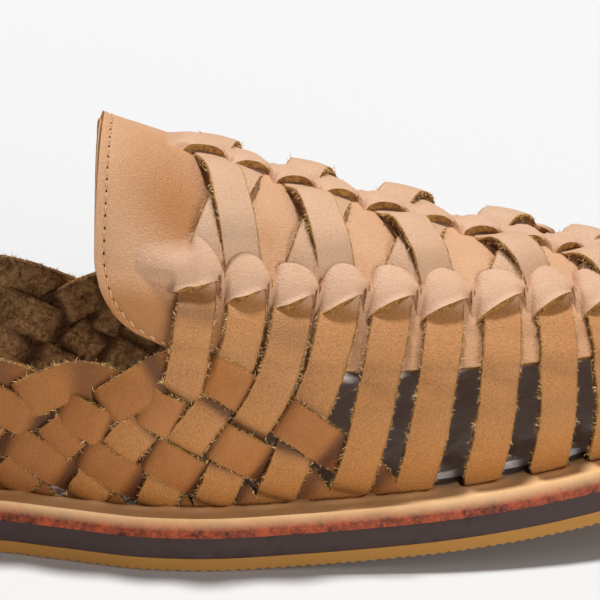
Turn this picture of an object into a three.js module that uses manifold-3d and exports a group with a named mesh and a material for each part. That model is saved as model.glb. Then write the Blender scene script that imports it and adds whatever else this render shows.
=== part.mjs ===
// Woven leather huarache, a right shoe.
// Millimetres, +Z up, toe towards +X, outer (little toe) side towards -Y.
// Stations are counted from the back of the heel, and the finished shoe is centred over its own footprint.

import * as THREE from 'three';
import { mergeVertices } from 'three/addons/utils/BufferGeometryUtils.js';
import Module from 'manifold-3d';

const wasm = await Module();
wasm.setup();

// Driving sizes of the sole
const LENGTH = 285;
const OUTSOLE_THICK = 2.8;
const MIDSOLE_THICK = 4.3;
const BASE_THICK = 4.7;
const INSOLE_THICK = 1.6;
const LAYER_GAP = 0.3;
const HEEL_ROUND = 38;
const TOE_ROUND = 85;
const END_POWER = 2.1;
const TOE_SPRING = 11.5;
const SPRING_START = 160;
const TOE_LEAN = 7;
const LEAN_START = 150;
const INSOLE_INSET = 13;
const SOLE_STATIONS = 36;

// Driving sizes of the upper
const FEATHER_INSET = 11;
const SIDE_BULGE = 3.2;
const BULGE_REACH = 0.7;
const SECTION_STEPS = 24;
const STRAP_WIDTH = 8.6;
const STRAP_THICK = 2;
const PANEL_THICK = 1.8;
const LIFT_UNDER = 1.1;
const LIFT_OVER = 2.9;
const LIFT_FOOT = 2;
const LIFT_ON_PANEL = 2.7;
const LIFT_CROSSING = 4.5;
const LOOP_HEIGHT = 7.4;
const LOOP_LOW = 2.1;
const LOOP_HIGH = 4.6;
const SUNK = 0.5;
const TAB_WIDTH = 6;
const TAB_DEPTH = 2.4;
const TAB_RISE = 3;
const SLOT_GAP = 0.3;

// Driving sizes of the heel weave
const LEG_BOW = 4.4;
const LEG_SHARES = [0, 0.33, 0.7];
const SAMPLE_STEP = 18;
const HEEL_STEP = 12;
const HEEL_REACH = 45;
const TOE_STEP = 12;
const TOE_REACH = 195;

// Half widths of the sole on each side of its middle line
const WIDTHS = [
  { x: 0, outer: 33, inner: 33 },
  { x: 35, outer: 33.5, inner: 33 },
  { x: 75, outer: 33, inner: 31 },
  { x: 98, outer: 33, inner: 30 },
  { x: 110, outer: 35.4, inner: 30.6 },
  { x: 124, outer: 40.4, inner: 33 },
  { x: 144, outer: 47, inner: 38.2 },
  { x: 156, outer: 48.2, inner: 42 },
  { x: 176, outer: 47.6, inner: 46.7 },
  { x: 200, outer: 47.6, inner: 50 },
  { x: 225, outer: 47.5, inner: 50.3 },
  { x: 285, outer: 47.5, inner: 48 },
];

// Height of the last's top line above the floor
const RIDGE = [
  { x: 0, z: 106 },
  { x: 52, z: 107 },
  { x: 100, z: 102.5 },
  { x: 125, z: 92.6 },
  { x: 137, z: 87.3 },
  { x: 147, z: 83.7 },
  { x: 170, z: 74.8 },
  { x: 192, z: 67.4 },
  { x: 214, z: 61 },
  { x: 236, z: 56 },
  { x: 262, z: 51 },
];

// Sections of the last: f runs along the feather line from heel (0) to toe (1),
// top is the station that the section leans to, power is its squareness
const SECTIONS = [
  { f: 0, top: 50, power: 2.6 },
  { f: 0.1, top: 58, power: 2.57 },
  { f: 0.25, top: 80, power: 2.52 },
  { f: 0.42, top: 124, power: 2.3 },
  { f: 0.5, top: 146, power: 2.15 },
  { f: 0.58, top: 167, power: 2.15 },
  { f: 0.66, top: 188, power: 2.15 },
  { f: 0.74, top: 209, power: 2.18 },
  { f: 0.8, top: 225, power: 2.2 },
  { f: 0.86, top: 239, power: 2.21 },
  { f: 0.93, top: 249, power: 2.23 },
  { f: 1, top: 253, power: 2.25 },
];

// Vamp straps: foot is millimetres along the feather line, loop and t place the side loop,
// crest is the centre loop's place on the top line
const STRAPS = [
  { foot: 132, loop: 0.535, t: 0.6, crest: 0.54 },
  { foot: 148, loop: 0.572, t: 0.6, crest: 0.576 },
  { foot: 160, loop: 0.61, t: 0.6, crest: 0.615 },
  { foot: 173.5, loop: 0.646, t: 0.61, crest: 0.651 },
  { foot: 190, loop: 0.687, t: 0.63, crest: 0.691 },
  { foot: 204.5, loop: 0.727, t: 0.63, crest: 0.733 },
  { foot: 219.5, loop: 0.772, t: 0.66, crest: 0.772 },
  { foot: 234.5, loop: 0.814, t: 0.685, crest: 0.813 },
  { foot: 248, loop: 0.855, t: 0.7, crest: 0.85 },
  { foot: 261.5, loop: 0.893, t: 0.71, crest: 0.89 },
  { foot: 274.5, loop: 0.93, t: 0.715, crest: 0.93 },
  { foot: 287.5, loop: 0.968, t: 0.72, crest: 0.968 },
];
const CREST_LOOPS = 10;
const TOE_SLIT_T = 0.87;

// Bends of the first vamp straps where they join the weave: along and up the wall
const BENDS = [
  [{ along: 156, up: 33 }, { along: 153.5, up: 25.2 }, { along: 144, up: 16.3 }],
  [{ along: 167.3, up: 36 }, { along: 162.6, up: 25.2 }, { along: 155.4, up: 15.2 }],
  [{ along: 175.3, up: 29 }, { along: 169.6, up: 19.4 }, { along: 164.6, up: 10.5 }],
  [{ along: 185.8, up: 29 }, { along: 179.8, up: 15.3 }],
  [{ along: 198, up: 27 }, { along: 194.5, up: 14 }],
];

// Border straps from the outer side round the heel to the inner side: the peak of each, along
// the feather line and up the wall, and the foot of the leg that falls back from it
const BORDER_STRAPS = [
  { along: -155.1, up: 31.2, rear: -113 },
  { along: -133, up: 27.4, rear: -89 },
  { along: -110, up: 26.4, rear: -57 },
  { along: -85, up: 28.8, rear: -23 },
  { along: -60, up: 33, rear: 13 },
  { along: -36, up: 39, rear: 47.5 },
  { along: -12, up: 43, rear: 78 },
  { along: 12, up: 43.5, rear: 106 },
  { along: 36, up: 41.5, rear: 124 },
  { along: 60, up: 38.5, rear: 140.5 },
  { along: 84, up: 36, rear: 155.5 },
  { along: 107, up: 33.3, rear: 170 },
  { along: 137, up: 27.4, rear: 186.5 },
  { along: 158, up: 31.2, rear: 201 },
];

// Edges of the vamp panel: the throat edge by t, and the lower edge by f
const THROAT = [
  { t: 0.4, f: 0.515 },
  { t: 0.43, f: 0.487 },
  { t: 0.47, f: 0.471 },
  { t: 0.53, f: 0.46 },
  { t: 0.6, f: 0.456 },
  { t: 1, f: 0.456 },
];
const PANEL_LOW = [
  { f: 0.5, t: 0.4 },
  { f: 0.62, t: 0.37 },
  { f: 0.72, t: 0.38 },
  { f: 0.84, t: 0.41 },
  { f: 1, t: 0.47 },
];
const PANEL_LENGTH_STEPS = 10;
const PANEL_SIDE_STEPS = 4;

// Smooth curve through the rows of a table, without overshoot
function along(rows, from, to, at) {
  const last = rows.length - 1;
  const slope = (i) => (rows[i + 1][to] - rows[i][to]) / (rows[i + 1][from] - rows[i][from]);
  const tangent = (i) => {
    if (i === 0) return slope(0);
    if (i === last) return slope(last - 1);
    const before = slope(i - 1);
    const after = slope(i);
    return before * after <= 0 ? 0 : (2 * before * after) / (before + after);
  };
  const x = Math.min(Math.max(at, rows[0][from]), rows[last][from]);
  let i = 0;
  while (i < last - 1 && x > rows[i + 1][from]) i += 1;
  const span = rows[i + 1][from] - rows[i][from];
  const u = (x - rows[i][from]) / span;
  const v = 1 - u;
  const low = rows[i][to] * (1 + 2 * u) * v * v + tangent(i) * span * u * v * v;
  const high = rows[i + 1][to] * u * u * (3 - 2 * u) + tangent(i + 1) * span * u * u * (u - 1);
  return low + high;
}

const middleLine = (x) => TOE_LEAN * (Math.max(x - LEAN_START, 0) / (LENGTH - LEAN_START)) ** 2;
const spring = (x) => TOE_SPRING * (Math.max(x - SPRING_START, 0) / (LENGTH - SPRING_START)) ** 1.5;
const STACK = OUTSOLE_THICK + MIDSOLE_THICK + BASE_THICK + 2 * LAYER_GAP;

// Half width factor of the round heel and toe
function endRound(x, inset) {
  const heel = (HEEL_ROUND - x) / (HEEL_ROUND - inset);
  const toe = (x - (LENGTH - TOE_ROUND)) / (TOE_ROUND - inset);
  const u = Math.min(Math.max(heel, toe, 0), 1);
  return (1 - u ** END_POWER) ** (1 / END_POWER);
}

// Edge of the sole on one side (-1 outer, 1 inner), drawn in by an inset
function edge(side, x, inset) {
  const half = along(WIDTHS, 'x', side < 0 ? 'outer' : 'inner', x) - inset;
  return middleLine(x) + side * half * endRound(x, inset);
}

const roundStation = (i, steps, inset) => {
  const turn = (1 - Math.cos((Math.PI * i) / steps)) / 2;
  return inset + (LENGTH - 2 * inset) * turn;
};

// A closed mesh as a solid that can be joined and cut, turned outward if it is inside out
function solid(positions, triangles) {
  let volume = 0;
  const corner = (i) => positions[i];
  for (const [a, b, c] of triangles) {
    volume += corner(a).dot(new THREE.Vector3().crossVectors(corner(b), corner(c)));
  }
  const faces = volume < 0 ? triangles.map(([a, b, c]) => [a, c, b]) : triangles;
  let geometry = new THREE.BufferGeometry();
  const numbers = positions.flatMap((p) => [p.x, p.y, p.z]);
  geometry.setAttribute('position', new THREE.Float32BufferAttribute(numbers, 3));
  geometry.setIndex(faces.flat());
  geometry = mergeVertices(geometry, 1e-5);
  return new wasm.Manifold(new wasm.Mesh({
    numProp: 3,
    vertProperties: new Float32Array(geometry.attributes.position.array),
    triVerts: new Uint32Array(geometry.index.array),
  }));
}

function geometryOf(body) {
  const mesh = body.getMesh();
  const geometry = new THREE.BufferGeometry();
  geometry.setAttribute('position', new THREE.BufferAttribute(new Float32Array(mesh.vertProperties), 3));
  geometry.setIndex(new THREE.BufferAttribute(new Uint32Array(mesh.triVerts), 1));
  return geometry;
}

// The outer skin alone, with any air that is shut in between crossed straps filled
function shell(body) {
  const skins = body.decompose().filter((skin) => skin.volume() > 0);
  return skins.reduce((largest, skin) => (skin.volume() > largest.volume() ? skin : largest));
}

// Four-cornered rings swept into one closed body with flat ends
function sweep(rings) {
  const positions = rings.flat();
  const triangles = [];
  for (let i = 0; i + 1 < rings.length; i += 1) {
    for (let k = 0; k < 4; k += 1) {
      const a = 4 * i + k;
      const b = 4 * i + ((k + 1) % 4);
      triangles.push([a, b, b + 4], [a, b + 4, a + 4]);
    }
  }
  const end = 4 * (rings.length - 1);
  triangles.push([0, 2, 1], [0, 3, 2], [end, end + 1, end + 2], [end, end + 2, end + 3]);
  return solid(positions, triangles);
}

// A layer of the sole that follows the toe spring
function slab(inset, low, high) {
  const rings = [];
  const tip = 0.15;
  for (let i = 0; i <= SOLE_STATIONS; i += 1) {
    const x = roundStation(i, SOLE_STATIONS, inset);
    const rise = spring(x);
    const flat = i === 0 || i === SOLE_STATIONS ? tip : 0;
    const outer = edge(-1, x, inset) - flat;
    const inner = edge(1, x, inset) + flat;
    rings.push([
      new THREE.Vector3(x, outer, low + rise),
      new THREE.Vector3(x, inner, low + rise),
      new THREE.Vector3(x, inner, high + rise),
      new THREE.Vector3(x, outer, high + rise),
    ]);
  }
  return sweep(rings);
}

// Feather line, where the upper meets the leather base, with its running length
function featherLine(side) {
  const steps = 240;
  const points = [];
  const lengths = [0];
  for (let i = 0; i <= steps; i += 1) {
    const x = roundStation(i, steps, FEATHER_INSET);
    points.push(new THREE.Vector2(x, edge(side, x, FEATHER_INSET)));
    if (i > 0) lengths.push(lengths[i - 1] + points[i].distanceTo(points[i - 1]));
  }
  return { points, lengths, total: lengths[steps] };
}

const FEATHER = { '-1': featherLine(-1), 1: featherLine(1) };

function featherPoint(side, f) {
  const { points, lengths, total } = FEATHER[side];
  const at = Math.min(Math.max(f, 0), 1) * total;
  let i = 0;
  while (i < lengths.length - 2 && lengths[i + 1] < at) i += 1;
  const u = (at - lengths[i]) / (lengths[i + 1] - lengths[i]);
  return points[i].clone().lerp(points[i + 1], u);
}

// One section of the last from the feather line up to the top line, with its running length
const sectionStore = new Map();
function section(side, f) {
  const key = `${side} ${f.toFixed(5)}`;
  if (sectionStore.has(key)) return sectionStore.get(key);
  const foot = featherPoint(side, f);
  const footHeight = STACK + spring(foot.x);
  const topX = along(SECTIONS, 'f', 'top', f);
  const top = new THREE.Vector2(topX, 0.6 * middleLine(topX));
  const topHeight = along(RIDGE, 'x', 'z', topX);
  const slope = topX > 130 ? (along(RIDGE, 'x', 'z', topX + 1) - along(RIDGE, 'x', 'z', topX - 1)) / 2 : 0;
  const power = along(SECTIONS, 'f', 'power', f);
  const outward = foot.clone().sub(top).normalize();
  const points = [];
  const lengths = [0];
  for (let i = 0; i <= SECTION_STEPS; i += 1) {
    const turn = (Math.PI / 2) * (i / SECTION_STEPS);
    const across = 1 - Math.max(Math.cos(turn), 0) ** (2 / power);
    const up = Math.sin(turn) ** (2 / power);
    const flat = foot.clone().lerp(top, across);
    const height = footHeight + up * (topHeight + slope * (flat.x - top.x) - footHeight);
    flat.addScaledVector(outward, SIDE_BULGE * Math.sin(Math.PI * Math.min(turn / BULGE_REACH, 1)));
    points.push(new THREE.Vector3(flat.x, flat.y, height));
    if (i > 0) lengths.push(lengths[i - 1] + points[i].distanceTo(points[i - 1]));
  }
  const made = { points, lengths, girth: lengths[SECTION_STEPS] };
  sectionStore.set(key, made);
  return made;
}

const girth = (side, f) => section(side, Math.min(Math.max(f, 0), 1)).girth;

// Point of the last: side, f along the feather line, t up the section by length
function last(side, f, t) {
  const { points, lengths, girth: whole } = section(side, Math.min(Math.max(f, 0), 1));
  const at = Math.min(Math.max(t, 0), 1) * whole;
  let i = 0;
  while (i < lengths.length - 2 && lengths[i + 1] < at) i += 1;
  const u = (at - lengths[i]) / (lengths[i + 1] - lengths[i]);
  return points[i].clone().lerp(points[i + 1], u);
}

function outwardNormal(side, f, t) {
  const df = 0.004;
  const dt = 0.02;
  const forth = last(side, f + df, t).sub(last(side, f - df, t));
  const upward = last(side, f, t + dt).sub(last(side, f, t - dt));
  const normal = forth.cross(upward).normalize();
  const point = last(side, f, t);
  const heart = new THREE.Vector3(Math.min(Math.max(point.x, 60), 235), 0, 34);
  return normal.dot(point.sub(heart)) < 0 ? normal.negate() : normal;
}

// A place on the last and its outward direction, with the faces that leather has there.
// A strap's hidden face is sunk into what it lies on, so that the wall is one body.
function place(side, f, t, lift) {
  let normal = outwardNormal(side, f, t);
  const shared = t > 0.999 || f > 0.999 || f < 0.001;
  if (shared) normal = normal.add(outwardNormal(-side, f, t)).normalize();
  const high = lift + STRAP_THICK / 2;
  const low = lift - STRAP_THICK / 2 - SUNK * Math.max(lift - LIFT_UNDER, 0);
  return { point: last(side, f, t), normal, low, high };
}

// The same by millimetres: along is signed round the heel (outer side negative), up is up the wall
function wallPlace(alongWall, up, lift) {
  const side = alongWall < 0 ? -1 : 1;
  const f = Math.abs(alongWall) / FEATHER[side].total;
  const t = up / girth(side, f);
  const spot = place(side, f, t, lift);
  if (up < 0) spot.point.z += up;
  return spot;
}

// A flat strip swept through places, lying on the wall
function strip(spots, width) {
  const rings = spots.map(({ point, normal, low, high }, i) => {
    const before = spots[Math.max(i - 1, 0)].point;
    const after = spots[Math.min(i + 1, spots.length - 1)].point;
    const heading = after.clone().sub(before).normalize();
    const across = heading.cross(normal).normalize().multiplyScalar(width / 2);
    return [
      point.clone().sub(across).addScaledVector(normal, low),
      point.clone().add(across).addScaledVector(normal, low),
      point.clone().add(across).addScaledVector(normal, high),
      point.clone().sub(across).addScaledVector(normal, high),
    ];
  });
  return sweep(rings);
}

// Routes on the unrolled wall, x along and y up. Both legs of a border strap bow outward.
function borderRoute(row, number) {
  const mirror = BORDER_STRAPS[BORDER_STRAPS.length - 1 - number];
  const peak = new THREE.Vector2(row.along, row.up);
  const leg = (foot) => LEG_SHARES.map((share) => {
    const spot = new THREE.Vector2(foot, -1).lerp(peak, share);
    spot.y += LEG_BOW * Math.sin(Math.PI * share);
    return spot;
  });
  return new THREE.SplineCurve([...leg(row.rear), peak, ...leg(-mirror.rear).reverse()]);
}

function vampRoute(row, number, side) {
  const { total } = FEATHER[side];
  const top = new THREE.Vector2(row.loop * total, row.t * girth(side, row.loop));
  const bends = (BENDS[number] ?? []).map((bend) => new THREE.Vector2(bend.along, bend.up));
  const foot = new THREE.Vector2(row.foot, -1);
  return new THREE.SplineCurve([top, ...bends, foot]);
}

// Every strap of the wall as a fine line, with the family and number that settle over and under
const straps = [];
BORDER_STRAPS.forEach((row, number) => {
  straps.push({ number, points: borderRoute(row, number).getSpacedPoints(90), split: row.along });
});
STRAPS.forEach((row, number) => {
  for (const side of [-1, 1]) {
    const route = vampRoute(row, number, side).getSpacedPoints(40);
    const points = route.map((p) => new THREE.Vector2(side * p.x, p.y));
    const place = side < 0 ? -1 - number : BORDER_STRAPS.length + number;
    straps.push({ number: place, points, vamp: { side, number } });
  }
});

// Rearward-falling lines are one family of the weave, and forward-falling lines the other
function family(strap, point) {
  if (strap.vamp) return strap.vamp.side < 0 ? 'rear' : 'fore';
  return point.x > strap.split ? 'rear' : 'fore';
}

function crossing(a, b, c, d) {
  const r = b.clone().sub(a);
  const s = d.clone().sub(c);
  const turn = r.cross(s);
  if (Math.abs(turn) < 1e-9) return null;
  const q = c.clone().sub(a);
  const u = q.cross(s) / turn;
  const v = q.cross(r) / turn;
  return u >= 0 && u < 1 && v >= 0 && v < 1 ? u : null;
}

// Where a strap meets the others: running length and lift
function knots(strap) {
  const found = [];
  let run = 0;
  for (let i = 0; i + 1 < strap.points.length; i += 1) {
    const a = strap.points[i];
    const b = strap.points[i + 1];
    for (const other of straps) {
      if (other === strap) continue;
      for (let j = 0; j + 1 < other.points.length; j += 1) {
        const u = crossing(a, b, other.points[j], other.points[j + 1]);
        if (u === null) continue;
        const mine = family(strap, a);
        const odd = Math.abs(strap.number + other.number) % 2 === 1;
        const over = mine === 'rear' ? odd : !odd;
        found.push({ run: run + u * a.distanceTo(b), lift: over ? LIFT_OVER : LIFT_UNDER });
      }
    }
    run += a.distanceTo(b);
  }
  return { found, run };
}

// Lift along a strap, eased between its knots
function liftAt(list, run) {
  let i = 0;
  while (i < list.length - 2 && list[i + 1].run < run) i += 1;
  const a = list[i];
  const b = list[i + 1];
  const u = Math.min(Math.max((run - a.run) / Math.max(b.run - a.run, 1e-6), 0), 1);
  const ease = (1 - Math.cos(Math.PI * u)) / 2;
  return a.lift + (b.lift - a.lift) * ease;
}

// Places along a strap: at its knots, and between them at even steps
function strapPlaces(strap, firstLift) {
  const { found, run } = knots(strap);
  const list = [{ run: 0, lift: firstLift }, ...found, { run, lift: LIFT_FOOT }];
  const lengths = [0];
  strap.points.forEach((p, i) => {
    if (i > 0) lengths.push(lengths[i - 1] + p.distanceTo(strap.points[i - 1]));
  });
  const pointAt = (at) => {
    let i = 0;
    while (i < lengths.length - 2 && lengths[i + 1] < at) i += 1;
    const u = (at - lengths[i]) / (lengths[i + 1] - lengths[i]);
    return strap.points[i].clone().lerp(strap.points[i + 1], u);
  };
  const runs = [0];
  for (let i = 0; i + 1 < list.length; i += 1) {
    const span = list[i + 1].run - list[i].run;
    const far = Math.abs(pointAt((list[i].run + list[i + 1].run) / 2).x);
    const reach = far < HEEL_REACH ? HEEL_STEP : SAMPLE_STEP;
    const steps = Math.max(1, Math.round(span / (far > TOE_REACH ? TOE_STEP : reach)));
    for (let k = 1; k <= steps; k += 1) runs.push(list[i].run + (span * k) / steps);
  }
  return runs.filter((at, i) => i === 0 || at - runs[i - 1] > 0.5).map((at) => {
    const spot = pointAt(at);
    return wallPlace(spot.x, spot.y, liftAt(list, at));
  });
}

// Half of a vamp strap over the panel, from its side loop up to the crest or the toe slit
function crestPlaces(row, number, side) {
  const lifted = number % 2 === 1;
  const toCrest = number < CREST_LOOPS;
  const partner = STRAPS[lifted ? number - 1 : number + 1] ?? row;
  const endF = toCrest ? partner.crest : row.crest;
  const endT = toCrest ? 1 : TOE_SLIT_T;
  const endLift = toCrest ? LIFT_ON_PANEL : PANEL_THICK / 2;
  const steps = toCrest ? 4 : 2;
  const spots = [];
  for (let i = 1; i <= steps; i += 1) {
    const u = i / steps;
    const hump = lifted && toCrest ? (LIFT_CROSSING - LIFT_ON_PANEL) * Math.sin(Math.PI * u) : 0;
    const lift = LIFT_ON_PANEL + (endLift - LIFT_ON_PANEL) * u * u + hump;
    spots.push(place(side, row.loop + (endF - row.loop) * u, row.t + (endT - row.t) * u, lift));
  }
  return spots;
}

// A whole vamp strap from foot to foot, or each half of a toe strap
function vampStraps(number) {
  const row = STRAPS[number];
  const halves = [-1, 1].map((side) => {
    const strap = straps.find((s) => s.vamp && s.vamp.number === number && s.vamp.side === side);
    const wall = strapPlaces(strap, LIFT_ON_PANEL).reverse();
    return [...wall, ...crestPlaces(row, number, side)];
  });
  if (number >= CREST_LOOPS) return halves.map((spots) => strip(spots, STRAP_WIDTH));
  return [strip([...halves[0], ...halves[1].reverse().slice(1)], STRAP_WIDTH)];
}

// A row of loops, one band that rises over every strap
function loopBand(side, key, count) {
  const spots = [];
  const crest = key === 'crest';
  const step = STRAPS[1][key] - STRAPS[0][key];
  const tAt = (row) => (crest ? 1 : row.t);
  const bump = (f, row, high) => ({ ...place(side, f, tAt(row), 0), low: PANEL_THICK / 2, high });
  spots.push(bump(STRAPS[0][key] - 0.5 * step, STRAPS[0], LOOP_LOW));
  for (let i = 0; i < count; i += 1) {
    const row = STRAPS[i];
    const next = STRAPS[i + 1] ?? { ...row, [key]: row[key] + step };
    const gap = i === count - 1 ? step : next[key] - row[key];
    spots.push(bump(row[key], row, LOOP_HIGH));
    spots.push(bump(Math.min(row[key] + 0.5 * gap, 0.995), row, LOOP_LOW));
  }
  return strip(spots, LOOP_HEIGHT);
}

// The vamp panel: a thin shell on the last from the throat to the toe
function vampPanel() {
  const columns = PANEL_LENGTH_STEPS + 1;
  const rows = 2 * PANEL_SIDE_STEPS + 1;
  const layers = [0, PANEL_THICK];
  const positions = [];
  const index = (layer, i, j) => layer * columns * rows + i * rows + j;
  for (const lift of layers) {
    for (let i = 0; i < columns; i += 1) {
      for (let j = 0; j < rows; j += 1) {
        const side = j < PANEL_SIDE_STEPS ? -1 : 1;
        const height = 1 - Math.abs(j - PANEL_SIDE_STEPS) / PANEL_SIDE_STEPS;
        const run = i / PANEL_LENGTH_STEPS;
        const roughT = 0.4 + 0.6 * height;
        const start = along(THROAT, 't', 'f', roughT);
        const f = start + (1 - start) * run;
        const low = along(PANEL_LOW, 'f', 't', f);
        const { point, normal } = place(side, f, low + (1 - low) * height, 0);
        positions.push(point.addScaledVector(normal, lift));
      }
    }
  }
  const triangles = [];
  const quad = (a, b, c, d) => triangles.push([a, b, c], [a, c, d]);
  for (let i = 0; i + 1 < columns; i += 1) {
    for (let j = 0; j + 1 < rows; j += 1) {
      quad(index(0, i, j), index(0, i, j + 1), index(0, i + 1, j + 1), index(0, i + 1, j));
      quad(index(1, i, j), index(1, i + 1, j), index(1, i + 1, j + 1), index(1, i, j + 1));
    }
  }
  for (let i = 0; i + 1 < columns; i += 1) {
    quad(index(0, i, 0), index(0, i + 1, 0), index(1, i + 1, 0), index(1, i, 0));
    quad(index(0, i + 1, rows - 1), index(0, i, rows - 1), index(1, i, rows - 1), index(1, i + 1, rows - 1));
  }
  // Only the throat edge is closed here: at the toe tip the two sides share their points
  for (let j = 0; j + 1 < rows; j += 1) {
    quad(index(0, 0, j + 1), index(0, 0, j), index(1, 0, j), index(1, 0, j + 1));
  }
  return solid(positions, triangles);
}

// An upright tab at a strap's foot, or the slot that it sits in
function tab(alongWall, grow, low, high) {
  const foot = wallPlace(alongWall, 0, 0);
  const before = wallPlace(alongWall - 0.5, 0, 0).point;
  const ahead = wallPlace(alongWall + 0.5, 0, 0).point.sub(before).setZ(0).normalize();
  const outward = foot.normal.clone().setZ(0).normalize();
  const centre = foot.point.clone().addScaledVector(outward, LIFT_FOOT);
  const half = ahead.multiplyScalar(TAB_WIDTH / 2 + grow);
  const thick = outward.multiplyScalar(STRAP_THICK / 2 - 0.1 + grow);
  const ring = (z) => [
    centre.clone().sub(half).sub(thick).setZ(centre.z + z),
    centre.clone().add(half).sub(thick).setZ(centre.z + z),
    centre.clone().add(half).add(thick).setZ(centre.z + z),
    centre.clone().sub(half).add(thick).setZ(centre.z + z),
  ];
  return sweep([ring(low), ring(high)]);
}

const feet = STRAPS.flatMap((row) => [row.foot, -row.foot]);

function upperWall() {
  const pieces = [vampPanel()];
  for (const strap of straps.filter((s) => !s.vamp)) {
    pieces.push(strip(strapPlaces(strap, LIFT_FOOT), STRAP_WIDTH));
  }
  STRAPS.forEach((row, number) => pieces.push(...vampStraps(number)));
  pieces.push(loopBand(-1, 'loop', STRAPS.length), loopBand(1, 'loop', STRAPS.length));
  pieces.push(loopBand(1, 'crest', CREST_LOOPS));
  const joined = wasm.Manifold.union(pieces);
  const trimmed = joined.subtract(slab(-6, STACK - 12, STACK + LAYER_GAP));
  const tabs = feet.map((foot) => tab(foot, 0, -TAB_DEPTH, TAB_RISE));
  return shell(wasm.Manifold.union([trimmed, ...tabs]));
}

function leatherBase() {
  const low = OUTSOLE_THICK + MIDSOLE_THICK + 2 * LAYER_GAP;
  const slots = feet.map((foot) => tab(foot, SLOT_GAP, -TAB_DEPTH - SLOT_GAP, 1));
  return slab(0, low, STACK).subtract(wasm.Manifold.union(slots));
}

// Materials
const gum = new THREE.MeshStandardMaterial({ color: 0xb07d33, roughness: 0.55, metalness: 0 });
const darkRubber = new THREE.MeshStandardMaterial({ color: 0x46342f, roughness: 0.75, metalness: 0 });
const baseLeather = new THREE.MeshStandardMaterial({ color: 0xa9764a, roughness: 0.6, metalness: 0 });
const suede = new THREE.MeshStandardMaterial({ color: 0x7d7069, roughness: 0.95, metalness: 0 });
const strapLeather = new THREE.MeshStandardMaterial({ color: 0xb98755, roughness: 0.6, metalness: 0 });

const shoe = new THREE.Group();

function addPiece(name, body, material) {
  const mesh = new THREE.Mesh(geometryOf(body), material);
  mesh.name = name;
  shoe.add(mesh);
}

const midsoleLow = OUTSOLE_THICK + LAYER_GAP;
addPiece('outsole', slab(0, 0, OUTSOLE_THICK), gum);
addPiece('midsole', slab(0, midsoleLow, midsoleLow + MIDSOLE_THICK), darkRubber);
addPiece('leather_base', leatherBase(), baseLeather);
addPiece('insole', slab(INSOLE_INSET, STACK + LAYER_GAP, STACK + LAYER_GAP + INSOLE_THICK), suede);
addPiece('upper', upperWall(), strapLeather);

// The origin is on the floor, under the middle of the shoe's own footprint
const box = new THREE.Box3().setFromObject(shoe);
const middle = box.getCenter(new THREE.Vector3());
shoe.position.set(-middle.x, -middle.y, -box.min.z);

export default shoe;
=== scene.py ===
"""Woven leather huarache, a right shoe, with its leathers, rubber sole and studio.

Lengths in the tables are millimetres. Stations run from the back of the heel to the toe,
the outer side of the foot is -Y, and the finished pieces are in metres in the part's own frame.
"""

import math

import bpy
import numpy as np
from bpy.props import FloatProperty, FloatVectorProperty, IntProperty, PointerProperty
from mathutils import Matrix, Vector, kdtree


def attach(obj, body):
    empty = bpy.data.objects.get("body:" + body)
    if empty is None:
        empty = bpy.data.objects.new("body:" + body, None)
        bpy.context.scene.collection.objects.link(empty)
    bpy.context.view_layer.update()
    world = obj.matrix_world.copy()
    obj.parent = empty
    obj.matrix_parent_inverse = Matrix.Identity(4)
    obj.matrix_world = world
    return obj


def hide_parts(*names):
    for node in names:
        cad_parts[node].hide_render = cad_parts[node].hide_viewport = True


bl_info = {
    "name": "Woven Huarache",
    "version": (1, 0, 0),
    "blender": (4, 5, 0),
    "location": "3D View > Sidebar > Huarache",
    "description": "A laced leather upper on a layered sole",
    "category": "Add Mesh",
}

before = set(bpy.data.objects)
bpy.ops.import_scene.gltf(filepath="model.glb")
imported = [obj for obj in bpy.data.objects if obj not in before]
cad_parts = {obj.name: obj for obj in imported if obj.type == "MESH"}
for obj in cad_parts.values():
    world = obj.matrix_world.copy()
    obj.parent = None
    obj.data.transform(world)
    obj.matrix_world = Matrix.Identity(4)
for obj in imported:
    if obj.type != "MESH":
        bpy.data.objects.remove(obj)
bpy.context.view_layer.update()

# Sizes of the sole
LENGTH = 285.0
OUTSOLE_THICK = 2.8
MIDSOLE_THICK = 4.3
BASE_THICK = 4.7
INSOLE_THICK = 1.6
LAYER_GAP = 0.3
HEEL_ROUND = 38.0
TOE_ROUND = 85.0
END_POWER = 2.1
TOE_SPRING = 11.5
SPRING_START = 160.0
TOE_LEAN = 7.0
LEAN_START = 150.0
INSOLE_INSET = 13.0
STACK = OUTSOLE_THICK + MIDSOLE_THICK + BASE_THICK + 2 * LAYER_GAP

# Sizes of the upper
FEATHER_INSET = 11.0
SIDE_BULGE = 3.2
BULGE_REACH = 0.7
PANEL_THICK = 1.8
LIFT_UNDER = 1.0
LIFT_OVER = 3.05
LIFT_FOOT = 2.0
LIFT_HUMP = 2.1
DIVE_START = 2.0
LOOP_DIVE = 7.0
LIP_LIFT = 4.15
CREST_LIFT = 3.6
SHEET_FLOOR = 1.7
SHEET_THICK = 1.5
SLIT_END = 0.8
LOOP_VALLEY = 0.74
LIP_CURL = 0.8
STRAP_STEP = 1.15
LEG_BOW = 4.4
LEG_SHARES = (0, 0.33, 0.7)
COVER_LIFT = PANEL_THICK - 0.1

# Fineness of the last and of the strap routes
MM = 1000
UV_UNIT = 100
FEATHER_SAMPLES = 960
SECTION_SAMPLES = 121
SPLINE_STEPS = 30
BORDER_SAMPLES = 161
VAMP_SAMPLES = 81
CREST_STEPS = 44
TOE_STEPS = 16

# Top line of the last: its share of the sole's lean, and the station where its tilt starts
TOP_LEAN = 0.6
TILT_START = 130
HEART_STATIONS = (60, 235)
HEART_HEIGHT = 34

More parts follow.
